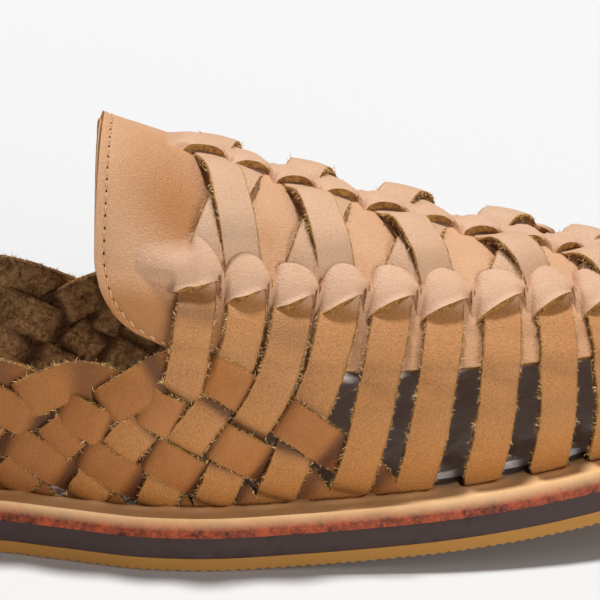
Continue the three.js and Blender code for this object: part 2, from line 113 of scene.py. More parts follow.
# Straps on the wall: depth of their feet, level stretch at each crossing, and the panel's soft border
FOOT_UP = -1.0
FOOT_DROP = 2.2
LEVEL_LENGTH = 3.5
LEVEL_SHARE = 0.33
COVER_BEFORE = 2.2
COVER_REACH = 2.4

# Straps over the panel: hump of the upper ones, and the dive of the last ones into the toe slit
HUMP_START = 0.15
HUMP_REACH = 0.22
TOE_DIVE = 3.6
TOE_DIVE_START = 0.7

# Reach of the smoothing along a strap's line, its lie and its sideways direction
LINE_SMOOTH = 1.0
LIE_SMOOTH = 1.6
SIDE_SMOOTH = 1.4

# Width of a strap: narrowed share and reach at its ends, and its slow waver
BORDER_WIDER = 1.07
BORDER_REAR_END = (0.3, 6.5)
BORDER_FORE_END = (0.42, 9)
VAMP_END = (0.2, 4.5)
WAVER = 0.012
WAVER_PACE = 0.33
WAVER_SHIFT = 1.7
CUT_ROUGHNESS = 0.07
FACE_ROUGHNESS = 0.03

# About the length of the feather line, which turns f into millimetres on the panel
FEATHER_LENGTH = 295

# Half widths of the sole: station, outer, inner
WIDTHS = [
    (0, 33, 33), (35, 33.5, 33), (75, 33, 31), (98, 33, 30), (110, 35.4, 30.6), (124, 40.4, 33),
    (144, 47, 38.2), (156, 48.2, 42), (176, 47.6, 46.7), (200, 47.6, 50), (225, 47.5, 50.3), (285, 47.5, 48),
]

# Top line of the last: station, height
RIDGE = [
    (0, 106), (52, 107), (100, 102.5), (125, 92.6), (137, 87.3), (147, 83.7),
    (170, 74.8), (192, 67.4), (214, 61), (236, 56), (262, 51),
]

# Sections of the last: f along the feather line, station leant to, squareness
SECTIONS = [
    (0, 50, 2.6), (0.1, 58, 2.57), (0.25, 80, 2.52), (0.42, 124, 2.3), (0.5, 146, 2.15),
    (0.58, 167, 2.15), (0.66, 188, 2.15), (0.74, 209, 2.18), (0.8, 225, 2.2), (0.86, 239, 2.21),
    (0.93, 249, 2.23), (1, 253, 2.25),
]

# Vamp straps: foot along the feather line, f and t of the side loop, f of the centre loop
STRAPS = [
    (132, 0.535, 0.6, 0.54), (148, 0.572, 0.6, 0.576), (160, 0.61, 0.6, 0.615),
    (173.5, 0.646, 0.61, 0.651), (190, 0.687, 0.63, 0.691), (204.5, 0.727, 0.63, 0.733),
    (219.5, 0.772, 0.66, 0.772), (234.5, 0.814, 0.685, 0.813), (248, 0.855, 0.7, 0.85),
    (261.5, 0.893, 0.71, 0.89), (274.5, 0.93, 0.715, 0.93), (287.5, 0.968, 0.72, 0.968),
]
CREST_LOOPS = 10
TOE_SLIT_T = 0.87

# Bends of the first vamp straps where they join the weave: along, up
BENDS = [
    [(156, 33), (153.5, 25.2), (144, 16.3)], [(167.3, 36), (162.6, 25.2), (155.4, 15.2)],
    [(175.3, 29), (169.6, 19.4), (164.6, 10.5)], [(185.8, 29), (179.8, 15.3)], [(198, 27), (194.5, 14)],
]

# Border straps from the outer side round the heel to the inner side: peak along, peak up, rear foot
BORDER_STRAPS = [
    (-155.1, 31.2, -113), (-133, 27.4, -89), (-110, 26.4, -57), (-85, 28.8, -23), (-60, 33, 13),
    (-36, 39, 47.5), (-12, 43, 78), (12, 43.5, 106), (36, 41.5, 124), (60, 38.5, 140.5), (84, 36, 155.5),
    (107, 33.3, 170), (137, 27.4, 186.5), (158, 31.2, 201),
]

# Edges of the vamp panel: throat by t and f, lower edge by f and t
THROAT = [(0.4, 0.515), (0.43, 0.487), (0.47, 0.471), (0.53, 0.46), (0.6, 0.456), (1, 0.456)]
PANEL_LOW = [(0.5, 0.4), (0.62, 0.37), (0.72, 0.38), (0.84, 0.41), (1, 0.47)]


# Curves and surfaces of the last

def along(rows, at, column=1):
    """Smooth curve through the rows of a table, without overshoot."""
    table = np.array(rows, float)
    xs, ys = table[:, 0], table[:, column]
    slopes = np.diff(ys) / np.diff(xs)
    tangents = np.concatenate([slopes[:1], np.zeros(len(xs) - 2), slopes[-1:]])
    both = slopes[:-1] * slopes[1:]
    total = slopes[:-1] + slopes[1:]
    tangents[1:-1] = np.where(both > 0, 2 * both / np.where(total == 0, 1, total), 0)
    x = np.clip(at, xs[0], xs[-1])
    i = np.clip(np.searchsorted(xs, x, side="right") - 1, 0, len(xs) - 2)
    span = xs[i + 1] - xs[i]
    u = (x - xs[i]) / span
    v = 1 - u
    low = ys[i] * (1 + 2 * u) * v * v + tangents[i] * span * u * v * v
    return low + ys[i + 1] * u * u * (3 - 2 * u) + tangents[i + 1] * span * u * u * (u - 1)


def middle_line(x):
    return TOE_LEAN * (np.maximum(x - LEAN_START, 0) / (LENGTH - LEAN_START)) ** 2


def spring(x):
    return TOE_SPRING * (np.maximum(x - SPRING_START, 0) / (LENGTH - SPRING_START)) ** 1.5


def sole_edge(side, x, inset):
    """Edge of the sole on one side, drawn in by an inset."""
    heel = (HEEL_ROUND - x) / (HEEL_ROUND - inset)
    toe = (x - (LENGTH - TOE_ROUND)) / (TOE_ROUND - inset)
    u = np.clip(np.maximum(heel, toe), 0, 1)
    half = along(WIDTHS, x, 1 if side < 0 else 2) - inset
    return middle_line(x) + side * half * (1 - u ** END_POWER) ** (1 / END_POWER)


def round_stations(steps, inset):
    turn = (1 - np.cos(np.pi * np.arange(steps + 1) / steps)) / 2
    return inset + (LENGTH - 2 * inset) * turn


def running_length(points):
    steps = np.linalg.norm(np.diff(points, axis=0), axis=1)
    return np.concatenate([[0], np.cumsum(steps)])


def resample(points, count):
    """The same line at even steps."""
    run = running_length(points)
    at = np.linspace(0, run[-1], count)
    return np.stack([np.interp(at, run, points[:, k]) for k in range(points.shape[1])], axis=1)


def unit(vectors):
    return vectors / np.maximum(np.linalg.norm(vectors, axis=-1, keepdims=True), 1e-12)


def ease(u):
    u = np.clip(u, 0, 1)
    return u * u * (3 - 2 * u)


class Last:
    """The foot form of the upper: side, f from heel to toe, t from the feather line to the top."""

    F_STEPS = 480
    T_STEPS = 128

    def __init__(self):
        self.total = np.zeros(2)
        self.girths = np.zeros((2, self.F_STEPS + 1))
        self.points = np.zeros((2, self.F_STEPS + 1, self.T_STEPS + 1, 3))
        for k, side in enumerate((-1, 1)):
            self._fill(k, side)
        self.normals = np.stack([self._normals(0), self._normals(1)])
        for where in (np.s_[:, -1], np.s_[0, :], np.s_[-1, :]):
            shared = unit(self.normals[0][where] + self.normals[1][where])
            self.normals[0][where] = shared
            self.normals[1][where] = shared

    def _fill(self, k, side):
        x = round_stations(FEATHER_SAMPLES, FEATHER_INSET)
        feather = np.stack([x, sole_edge(side, x, FEATHER_INSET)], axis=1)
        run = running_length(feather)
        self.total[k] = run[-1]
        f = np.linspace(0, 1, self.F_STEPS + 1)
        foot = np.stack([np.interp(f * run[-1], run, feather[:, a]) for a in (0, 1)], axis=1)
        top_x = along(SECTIONS, f, 1)
        top = np.stack([top_x, TOP_LEAN * middle_line(top_x)], axis=1)
        top_z = along(RIDGE, top_x)
        tilt = (along(RIDGE, top_x + 1) - along(RIDGE, top_x - 1)) / 2
        tilt = np.where(top_x > TILT_START, tilt, 0)
        power = along(SECTIONS, f, 2)
        foot_z = STACK + spring(foot[:, 0])
        outward = unit(foot - top)
        turn = np.linspace(0, np.pi / 2, SECTION_SAMPLES)
        for i in range(len(f)):
            across = 1 - np.maximum(np.cos(turn), 0) ** (2 / power[i])
            up = np.sin(turn) ** (2 / power[i])
            flat = foot[i] + (top[i] - foot[i]) * across[:, None]
            z = foot_z[i] + up * (top_z[i] + tilt[i] * (flat[:, 0] - top[i, 0]) - foot_z[i])
            bulge = SIDE_BULGE * np.sin(np.pi * np.minimum(turn / BULGE_REACH, 1))
            flat = flat + outward[i] * bulge[:, None]
            line = np.column_stack([flat, z])
            self.girths[k, i] = running_length(line)[-1]
            self.points[k, i] = resample(line, self.T_STEPS + 1)

    def _normals(self, k):
        forth = np.gradient(self.points[k], axis=0)
        upward = np.gradient(self.points[k], axis=1)
        normal = unit(np.cross(forth, upward))
        heart = np.zeros_like(normal)
        heart[..., 0] = np.clip(self.points[k][..., 0], *HEART_STATIONS)
        heart[..., 2] = HEART_HEIGHT
        facing = np.sum(normal * (self.points[k] - heart), axis=-1, keepdims=True)
        return np.where(facing < 0, -normal, normal)

    def _read(self, grid, side, f, t):
        k = (np.asarray(side) > 0).astype(int)
        a = np.clip(f, 0, 1) * self.F_STEPS
        b = np.clip(t, 0, 1) * self.T_STEPS
        i = np.minimum(a.astype(int), self.F_STEPS - 1)
        j = np.minimum(b.astype(int), self.T_STEPS - 1)
        u, v = (a - i)[..., None], (b - j)[..., None]
        low = grid[k, i, j] * (1 - u) + grid[k, i + 1, j] * u
        high = grid[k, i, j + 1] * (1 - u) + grid[k, i + 1, j + 1] * u
        return low * (1 - v) + high * v

    def at(self, side, f, t):
        """Points and outward normals."""
        side, f, t = np.broadcast_arrays(np.asarray(side), np.asarray(f, float), np.asarray(t, float))
        return self._read(self.points, side, f, t), unit(self._read(self.normals, side, f, t))

    def girth(self, side, f):
        k = (np.asarray(side) > 0).astype(int)
        a = np.clip(f, 0, 1) * self.F_STEPS
        i = np.minimum(np.asarray(a).astype(int), self.F_STEPS - 1)
        u = a - i
        return self.girths[k, i] * (1 - u) + self.girths[k, i + 1] * u

    def from_wall(self, along_wall, up):
        """Side, f and t from millimetres round the heel and up the wall."""
        side = np.where(along_wall < 0, -1, 1)
        f = np.abs(along_wall) / np.where(side < 0, self.total[0], self.total[1])
        return side, f, up / self.girth(side, f)


LAST = Last()


def panel_cover(side, f, t):
    """1 where the vamp panel lies, easing to 0 just outside it."""
    girth = LAST.girth(side, f)
    low = (t - along(PANEL_LOW, f)) * girth
    throat = (f - along(THROAT, t)) * LAST.total.mean()
    return ease((low + COVER_BEFORE) / COVER_REACH) * ease((throat + COVER_BEFORE) / COVER_REACH)


# Routes of the straps

def border_line(number):
    """A border strap on the unrolled wall: rear foot, peak, fore foot, with both legs bowed outward."""
    x, up, rear = BORDER_STRAPS[number]
    fore = -BORDER_STRAPS[-1 - number][2]
    peak = np.array([x, up])
    legs = []
    for foot in (rear, fore):
        start = np.array([foot, FOOT_UP])
        bows = [np.array([0, LEG_BOW * math.sin(math.pi * s)]) for s in LEG_SHARES]
        legs.append([start + (peak - start) * s + bow for s, bow in zip(LEG_SHARES, bows)])
    return resample(spline([*legs[0], peak, *reversed(legs[1])]), BORDER_SAMPLES), x


def spline(points):
    """A curve through the points."""
    points = np.array(points, float)
    out = []
    for i in range(len(points) - 1):
        p0, p1 = points[max(i - 1, 0)], points[i]
        p2, p3 = points[i + 1], points[min(i + 2, len(points) - 1)]
        u = np.linspace(0, 1, SPLINE_STEPS, endpoint=i == len(points) - 2)[:, None]
        v0, v1 = (p2 - p0) / 2, (p3 - p1) / 2
        out.append((2 * p1 - 2 * p2 + v0 + v1) * u**3 + (3 * p2 - 3 * p1 - 2 * v0 - v1) * u**2 + v0 * u + p1)
    return np.vstack(out)


def vamp_line(number, side):
    """A vamp strap on the unrolled wall, from its side loop down to its foot."""
    foot, loop, t, _ = STRAPS[number]
    total = LAST.total[0 if side < 0 else 1]
    top = (loop * total, t * float(LAST.girth(side, loop)))
    bends = BENDS[number] if number < len(BENDS) else []
    line = resample(spline([top, *bends, (foot, FOOT_UP)]), VAMP_SAMPLES)
    line[:, 0] *= side
    return line


def crossings(line, other):
    """Running lengths and segments of a line where it meets another."""
    p, r = line[:-1], np.diff(line, axis=0)
    q, s = other[:-1], np.diff(other, axis=0)
    turn = r[:, None, 0] * s[None, :, 1] - r[:, None, 1] * s[None, :, 0]
    turn = np.where(np.abs(turn) < 1e-9, 1e-9, turn)
    gap = q[None] - p[:, None]
    u = (gap[..., 0] * s[None, :, 1] - gap[..., 1] * s[None, :, 0]) / turn
    v = (gap[..., 0] * r[:, None, 1] - gap[..., 1] * r[:, None, 0]) / turn
    hit = (u >= 0) & (u < 1) & (v >= 0) & (v < 1)
    segment = np.nonzero(hit)[0]
    lengths = np.linalg.norm(r, axis=1)
    start = running_length(line)[:-1]
    return list(zip(start[segment] + u[hit] * lengths[segment], segment))


def wall_lines():
    """Every strap of the wall with the numbers that settle over and under."""
    lines = []
    for number in range(len(BORDER_STRAPS)):
        points, split = border_line(number)
        rear = points[:-1, 0] > split
        lines.append({"number": number, "points": points, "rear": rear, "vamp": None})
    for number in range(len(STRAPS)):
        for side in (-1, 1):
            points = vamp_line(number, side)
            rear = np.full(len(points) - 1, side < 0)
            place = -1 - number if side < 0 else len(BORDER_STRAPS) + number
            lines.append({"number": place, "points": points, "rear": rear, "vamp": (number, side)})
    for line in lines:
        found = []
        for other in lines:
            if other is line:
                continue
            odd = abs(line["number"] + other["number"]) % 2 == 1
            for run, segment in crossings(line["points"], other["points"]):
                over = odd if line["rear"][segment] else not odd
                found.append((run, LIFT_OVER if over else LIFT_UNDER))
        line["knots"] = sorted(found)
    return lines


WALL = wall_lines()


def lift_along(knots, run):
    """Lift of a strap: level over or under each crossing, with a short slope between."""
    runs = np.array([k[0] for k in knots])
    lifts = np.array([k[1] for k in knots])
    i = np.clip(np.searchsorted(runs, run) - 1, 0, len(runs) - 2)
    span = np.maximum(runs[i + 1] - runs[i], 1e-6)
    level = np.minimum(LEVEL_LENGTH / span, LEVEL_SHARE)
    u = ((run - runs[i]) / span - level) / (1 - 2 * level)
    return lifts[i] + (lifts[i + 1] - lifts[i]) * ease(u)


def wall_part(line, first_lift):
    """Side, f, t, lift, drop and bare lift of a wall strap at close steps."""
    points = line["points"]
    run = running_length(points)
    knots = [(0.0, first_lift), *line["knots"], (run[-1], LIFT_FOOT)]
    at = np.linspace(0, run[-1], max(8, int(run[-1] / STRAP_STEP)))
    x = np.interp(at, run, points[:, 0])
    up = np.interp(at, run, points[:, 1])
    side, f, t = LAST.from_wall(x, np.maximum(up, 0))
    cover = panel_cover(side, f, t)
    if line["vamp"] is not None:
        cover = cover * ease((at - DIVE_START) / LOOP_DIVE)
    bare = lift_along(knots, at)
    return [side, f, t, bare + COVER_LIFT * cover, np.minimum(up, 0) * FOOT_DROP, bare]


def crest_part(number, side):
    """The half of a vamp strap over the panel, from its side loop up."""
    _, loop, t, own = STRAPS[number]
    lifted = number % 2 == 1
    to_crest = number < CREST_LOOPS
    end_f = STRAPS[number - 1 if lifted else number + 1][3] if to_crest else own
    end_t = 1.0 if to_crest else TOE_SLIT_T
    u = np.linspace(0, 1, CREST_STEPS if to_crest else TOE_STEPS)[1:]
    hump = 0
    if lifted and to_crest:
        hump = LIFT_HUMP * ease((np.minimum(u, 1 - u) - HUMP_START) / HUMP_REACH)
    f = loop + (end_f - loop) * u
    reach = (end_t - t) * float(LAST.girth(side, loop))
    from_loop = u * reach
    left = (1 - u) * reach if to_crest else np.full(len(u), np.inf)
    cover = ease((np.minimum(from_loop, left) - DIVE_START) / LOOP_DIVE)
    lift = LIFT_UNDER + COVER_LIFT * cover + hump
    if not to_crest:
        lift = lift - TOE_DIVE * ease((u - TOE_DIVE_START) / 0.3)
    return [np.full(len(u), side), f, t + (end_t - t) * u, lift, 0 * u, 0 * u + LIFT_UNDER]


def joined(*parts):
    return [np.concatenate(rows) for rows in zip(*parts)]


def turned(part):
    return [row[::-1] for row in part]


def strap_routes():
    """Name and parts of every strap: border straps first, then the vamp straps."""
    routes = []
    for line in WALL:
        if line["vamp"] is None:
            routes.append(("border", line["number"], wall_part(line, LIFT_FOOT)))
    for number in range(len(STRAPS)):
        halves = []
        for side in (-1, 1):
            line = next(w for w in WALL if w["vamp"] == (number, side))
            rest = crest_part(number, side)
            halves.append(joined(turned(wall_part(line, LIFT_UNDER)), rest))
        if number < CREST_LOOPS:
            other = turned(halves[1])
            routes.append(("vamp", number, joined(halves[0], [row[1:] for row in other])))
        else:
            routes += [("toe", number, halves[0]), ("toe", number, halves[1])]
    return routes


def smoothed(values, reach, step):
    """A running average weighted like a bell, ends held."""
    count = int(3 * reach / step) + 1
    offsets = np.arange(-count, count + 1)
    weights = np.exp(-0.5 * (offsets * step / reach) ** 2)
    weights /= weights.sum()
    before = 2 * values[:1] - values[count:0:-1]
    after = 2 * values[-1:] - values[-2:-count - 2:-1]
    padded = np.concatenate([before, values, after])
    columns = [np.convolve(padded[:, k], weights, mode="valid") for k in range(values.shape[1])]
    return np.stack(columns, axis=1)


def strap_frame(route):
    """Run, centre line, across and normal directions, bare lift and t of a strap, at even steps."""
    side, f, t, lift, drop, bare = route
    point, normal = LAST.at(side, f, t)
    centre = point + normal * lift[:, None]
    centre[:, 2] += drop
    count = max(12, int(running_length(centre)[-1] / STRAP_STEP))
    run = running_length(centre)
    at = np.linspace(0, run[-1], count)
    line = np.stack([np.interp(at, run, centre[:, k]) for k in range(3)], axis=1)
    lie = np.stack([np.interp(at, run, normal[:, k]) for k in range(3)], axis=1)
    step = at[1]
    line = smoothed(line, LINE_SMOOTH, step)
    lie = unit(smoothed(lie, LIE_SMOOTH, step))
    heading = unit(np.gradient(line, axis=0))
    sideways = unit(smoothed(unit(np.cross(heading, lie)), SIDE_SMOOTH, step))
    sideways = unit(sideways - heading * np.sum(sideways * heading, axis=1, keepdims=True))
    return at, line, sideways, np.cross(sideways, heading), np.interp(at, run, bare), np.interp(at, run, t)


# Section of a strap: across as a share of the half width, height, cut edge, flesh side
STRAP_SECTION = np.array([
    (-0.9, 0.88, 0.3, 0), (-0.7, 1.02, 0, 0), (-0.35, 1.14, 0, 0), (0, 1.19, 0, 0),
    (0.35, 1.14, 0, 0), (0.7, 1.02, 0, 0), (0.9, 0.88, 0.3, 0), (0.975, 0.74, 0.8, 0),
    (1.0, 0.45, 1, 0), (1.0, 0.0, 1, 0), (0.99, -0.5, 1, 0.2), (0.96, -0.88, 0.8, 0.7),
    (0.8, -1.0, 0, 1), (0.3, -1.0, 0, 1), (-0.3, -1.0, 0, 1), (-0.8, -1.0, 0, 1),
    (-0.96, -0.88, 0.8, 0.7), (-0.99, -0.5, 1, 0.2), (-1.0, 0.0, 1, 0), (-1.0, 0.45, 1, 0),
    (-0.975, 0.74, 0.8, 0),
])


# Painted shade of a strap: darker where it passes under, dark bands in the bend beside a crossing and along
# its lower cut edges, darker on a vamp strap's side wall, and darker near the sole
UNDER_FROM = 0.3
UNDER_REACH = 1.5
BEND_SHADE_SLOPE = 0.35
BEND_SHADE_FROM = 0.9
BEND_SHADE_REACH = 1.05
EDGE_SHADE = 0.8
LOW_HEIGHT = 17
LOW_REACH = 34
UNDER_SHADE = 0.3
LOW_SHADE = 0.25
WALL_SHADE = 0.86
WALL_LOW_SHADE = 0.18


def narrowing(end, run):
    """Share of its width that a strap has lost at a running length from its end."""
    share, reach = end
    return share * (1 - ease(run / reach))


def strap_rings(kind, number, route, width, thick, rng):
    """Cross rings of one strap, with its end narrowed into the slots of the base."""
    at, line, sideways, normal, lift, t = strap_frame(route)
    left = at[-1] - at
    half = np.full(len(at), width / 2)
    if kind == "border":
        half *= BORDER_WIDER
        half *= 1 - narrowing(BORDER_REAR_END, at) - narrowing(BORDER_FORE_END, left)
    else:
        half *= 1 - narrowing(VAMP_END, at)
        if kind == "vamp":
            half *= 1 - narrowing(VAMP_END, left)
    half *= 1 + WAVER * np.sin(at * WAVER_PACE + number * WAVER_SHIFT)
    share, height = STRAP_SECTION[:, 0], STRAP_SECTION[:, 1] * thick / 2
    rough = rng.normal(0, 1, (len(at), len(share)))
    cut = STRAP_SECTION[:, 2]
    a = half[:, None] * share + np.sign(share) * cut * np.clip(rough, -2, 2) * CUT_ROUGHNESS
    b = height + FACE_ROUGHNESS * cut * np.clip(rng.normal(0, 1, a.shape), -2, 2)
    rings = line[:, None] + sideways[:, None] * a[..., None] + normal[:, None] * b[..., None]
    # Painted shade where the strap passes under another, and dark bands of painted shade where it bends down
    # beside a crossing
    under = 1 - ease((lift - LIFT_UNDER - UNDER_FROM) / UNDER_REACH)
    slope = ease(np.abs(np.gradient(lift, at)) / BEND_SHADE_SLOPE)
    crease = slope * (1 - ease((lift - LIFT_UNDER - BEND_SHADE_FROM) / BEND_SHADE_REACH))
    # Dark bands of painted shade along the lower cut edges
    foot_side = STRAP_SECTION[:, 2] * (STRAP_SECTION[:, 1] < 0.1)
    crease = np.maximum(crease[:, None], EDGE_SHADE * foot_side)
    # Painted shade, darker towards the sole
    low = 1 - ease((line[:, 2] - LOW_HEIGHT) / LOW_REACH)
    if kind == "border":
        return rings, np.clip(UNDER_SHADE * under + LOW_SHADE * low, 0, 1), crease
    # Painted shade on a vamp strap's side wall, below its side loop
    side_wall = ease((STRAPS[number][2] - 0.01 - t) / 0.07)
    return rings, side_wall * (WALL_SHADE + WALL_LOW_SHADE * low), crease


# Making meshes

def to_frame(points):
    """Station millimetres to metres in the part's own frame."""
    return (np.asarray(points) - ORIGIN) / MM


def outline_middle():
    x = round_stations(36, 0)
    return float((sole_edge(-1, x, 0).min() + sole_edge(1, x, 0).max()) / 2)


MIDDLE_Y = outline_middle()
ORIGIN = np.array([LENGTH / 2, MIDDLE_Y, 0])


def deselect():
    if bpy.context.object and bpy.context.object.mode != "OBJECT":
        bpy.ops.object.mode_set(mode="OBJECT")
    bpy.ops.object.select_all(action="DESELECT")


def pick(*objects):
    deselect()
    for o in objects:
        o.select_set(True)
    bpy.context.view_layer.objects.active = objects[0]
    return objects[0]


def grid_piece(name, points, uv=None):
    """A grid primitive with its points, rows by columns in station millimetres, laid on a surface."""
    rows, columns = points.shape[:2]
    deselect()
    bpy.ops.mesh.primitive_grid_add(x_subdivisions=columns - 1, y_subdivisions=rows - 1, size=1)
    piece = bpy.context.object
    piece.name = piece.data.name = name
    piece.data.vertices.foreach_set("co", to_frame(points).astype(np.float32).ravel())
    layer = piece.data.uv_layers[0]
    layer.name = "lay"
    if uv is not None:
        index = np.zeros(len(piece.data.loops), int)
        piece.data.loops.foreach_get("vertex_index", index)
        layer.data.foreach_set("uv", uv.reshape(-1, 2)[index].astype(np.float32).ravel())
    piece.data.update()
    return piece


def give(piece, name, values, domain="POINT"):
    """A value for each point or face of the mesh, read by the materials."""
    attribute = piece.data.attributes.get(name) or piece.data.attributes.new(name, "FLOAT", domain)
    attribute.data.foreach_set("value", np.asarray(values, np.float32).ravel())


def weld(piece, outward=True):
    """Merges the points that coincide and turns the faces outward."""
    pick(piece)
    bpy.ops.object.mode_set(mode="EDIT")
    bpy.ops.mesh.select_all(action="SELECT")
    bpy.ops.mesh.remove_doubles(threshold=2e-6)
    if outward:
        bpy.ops.mesh.normals_make_consistent(inside=False)
    bpy.ops.object.mode_set(mode="OBJECT")


def smooth(piece, angle=50):
    pick(piece)
    bpy.ops.object.shade_smooth_by_angle(angle=math.radians(angle))


def modify(piece, kind, **settings):
    """Adds a modifier and applies it."""
    pick(piece)
    modifier = piece.modifiers.new(kind.title(), kind)
    for key, value in settings.items():
        setattr(modifier, key, value)
    bpy.ops.object.modifier_apply(modifier=modifier.name)


def join(pieces, name):
    first = pick(*pieces)
    if len(pieces) > 1:
        bpy.ops.object.join()
    first.name = first.data.name = name
    return first


def finish(piece, material, node):
    """Gives a piece its material and its place on the shoe, and hides the solid that it stands for."""
    piece.data.materials.clear()
    piece.data.materials.append(material)
    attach(piece, "root")
    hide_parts(node)
    return piece


def swept(name, rings, cut, flesh, tone, **shades):
    """A closed body from rings, with both ends drawn to a point inside them."""
    ends = [rings[:1].mean(axis=1, keepdims=True), rings[-1:].mean(axis=1, keepdims=True)]
    count = rings.shape[1]
    caps = [np.repeat(e, count, axis=1) for e in ends]
    full = np.concatenate([caps[0], rings, caps[1]])
    closed = np.concatenate([full, full[:, :1]], axis=1)
    run = np.concatenate([[0], running_length(rings.mean(axis=1)), [0]])
    run[-1] = run[-2]
    u = np.broadcast_to(np.linspace(0, 1, count + 1), closed.shape[:2])
    v = np.broadcast_to((run / UV_UNIT)[:, None], closed.shape[:2])
    piece = grid_piece(name, closed, np.stack([u, v], axis=-1))
    for key, row in (("cut", cut), ("flesh", flesh)):
        give(piece, key, np.broadcast_to(np.append(row, row[0]), closed.shape[:2]))
    give(piece, "tone", np.full(closed.shape[:2], tone))
    for key, shade in shades.items():
        held = np.concatenate([shade[:1], shade, shade[-1:]])
        if held.ndim == 2:
            held = np.concatenate([held, held[:, :1]], axis=1)
        give(piece, key, np.broadcast_to(held.reshape(len(held), -1), closed.shape[:2]))
    return piece


def nearest_of(points, wanted):
    """Index of the nearest point for each wanted one."""
    tree = kdtree.KDTree(len(points))
    for i, p in enumerate(points):
        tree.insert(p, i)
    tree.balance()
    return np.array([tree.find(w)[1] for w in wanted])


def thick_sheet(name, points, normals, thick, offset, uv, bevel, values=None):
    """A sheet of leather: a grid laid on the last, given its thickness and softened edges."""
    piece = grid_piece(name, points, uv)
    flat = normals.reshape(-1, 3)
    facing = sum(p.normal.dot(Vector(flat[p.vertices[0]])) for p in piece.data.polygons)
    if facing < 0:
        piece.data.flip_normals()
    own = unit(np.cross(np.gradient(points, axis=0), np.gradient(points, axis=1))).reshape(-1, 3)
    own = own * np.sign(np.sum(own * flat, axis=1, keepdims=True))
    laid = to_frame(points.reshape(-1, 3))
    weld(piece, outward=False)
    settings = {"use_even_offset": False, "use_quality_normals": True}
    modify(piece, "SOLIDIFY", thickness=thick / MM, offset=offset, **settings)
    modify(piece, "BEVEL", width=bevel / MM, segments=2, limit_method="ANGLE", angle_limit=math.radians(55))
    mesh = piece.data
    near = nearest_of(laid, [p.center for p in mesh.polygons])
    facing = np.array([p.normal.dot(Vector(own[n])) for p, n in zip(mesh.polygons, near)])
    give(piece, "cut", np.abs(facing) < 0.6, "FACE")
    give(piece, "flesh", facing < -0.6, "FACE")
    near = nearest_of(laid, [v.co for v in mesh.vertices])
    for key, value in (values or {}).items():
        give(piece, key, np.asarray(value).reshape(-1)[near])
    return piece


# Pieces of the upper

def weave_pieces(kinds, name, sizes):
    """Straps of the given kinds as one piece, each with its own tone."""
    rng = np.random.default_rng(sizes.seed)
    width, thick = sizes.strap_width * MM, sizes.strap_thick * MM
    pieces = []
    for kind, number, route in strap_routes():
        tone = rng.uniform(0, 1)
        rings, shade, crease = strap_rings(kind, number, route, width, thick, rng)
        if kind in kinds:
            cut, flesh = STRAP_SECTION[:, 2], STRAP_SECTION[:, 3]
            pieces.append(swept(f"{kind}_{number}", rings, cut, flesh, tone, shade=shade, crease=crease))
    piece = join(pieces, name)
    weld(piece)
    smooth(piece, 60)
    return piece


# Grid of the panel: its run from throat to toe, columns past the seam, and rows on each side
PANEL_RUN = 160
PANEL_COLUMNS = 108
PANEL_HALF_ROWS = 44

# Burnish of the panel, painted shade in the gaps below its side loops, and how far below them the gaps start
PANEL_BASE_SHADE = 0.32
PANEL_GAP_SHADE = 0.25
GAP_BELOW = 0.09

# Throat of the panel, in millimetres: seam, flat strip beside it, pressed groove and lining
SEAM_INSET = 2.1
THROAT_FLAT = 9
GROOVE_DEPTH = 0.22
GROOVE_REACH = 0.45
LINING_SINK = 0.45
LINING_BACK = 0.25
LINING_THICK = 0.8


def panel_points():
    """Grid of the vamp panel: columns from throat to toe, rows from outer edge over to inner."""
    seam = np.arange(0, 5.4, 0.45)
    body = np.linspace(5.8, PANEL_RUN, PANEL_COLUMNS)
    edge = np.concatenate([seam, body]) / PANEL_RUN
    j = np.arange(-PANEL_HALF_ROWS, PANEL_HALF_ROWS + 1)
    height = 1 - np.abs(j) / PANEL_HALF_ROWS
    side = np.where(j < 0, -1, 1)
    start = along(THROAT, 0.4 + 0.6 * height)
    f = start[:, None] + (1 - start[:, None]) * edge[None]
    low = along(PANEL_LOW, f)
    t = low + (1 - low) * height[:, None]
    side = np.broadcast_to(side[:, None], f.shape)
    return side, f, t


# Hollows (below 0) and swells of the panel in millimetres: side, f, t, reach in f, reach in t, rise
PANEL_HOLLOWS = [
    (-1, 0.50, 0.74, 0.03, 0.10, -0.7), (-1, 0.515, 0.60, 0.02, 0.05, 0.9),
    (-1, 0.49, 0.52, 0.02, 0.05, 0.35), (1, 0.50, 0.72, 0.03, 0.10, -0.7),
    (1, 0.515, 0.60, 0.02, 0.05, 0.9), (-1, 0.475, 0.86, 0.02, 0.09, 0.3),
    (1, 0.475, 0.84, 0.02, 0.09, 0.3), (-1, 0.56, 0.80, 0.014, 0.06, -0.4),
    (-1, 0.63, 0.80, 0.014, 0.06, -0.4),
]

# Darker marks of the panel (above 0), burnish and painted shade in its hollows and between the straps, and
# paler marks, painted highlight on its swells: side, f, t, reach in f, reach in t, amount
PANEL_SHADES = [
    (-1, 0.512, 0.80, 0.026, 0.10, 0.6), (-1, 0.525, 0.70, 0.016, 0.07, 0.45),
    (-1, 0.50, 0.93, 0.03, 0.05, 0.12), (-1, 0.505, 0.585, 0.02, 0.05, -0.3),
    (-1, 0.49, 0.47, 0.035, 0.06, 0.85), (-1, 0.55, 0.43, 0.05, 0.05, 0.4),
    (-1, 0.556, 0.80, 0.01, 0.05, 0.3), (-1, 0.59, 0.72, 0.01, 0.05, 0.25),
    (-1, 0.635, 0.80, 0.01, 0.05, 0.3), (-1, 0.71, 0.80, 0.012, 0.06, 0.3),
    (-1, 0.79, 0.80, 0.012, 0.06, 0.35), (1, 0.51, 0.8, 0.026, 0.10, 0.5),
    (1, 0.49, 0.47, 0.035, 0.06, 0.8), (1, 0.505, 0.59, 0.02, 0.05, -0.3),
]


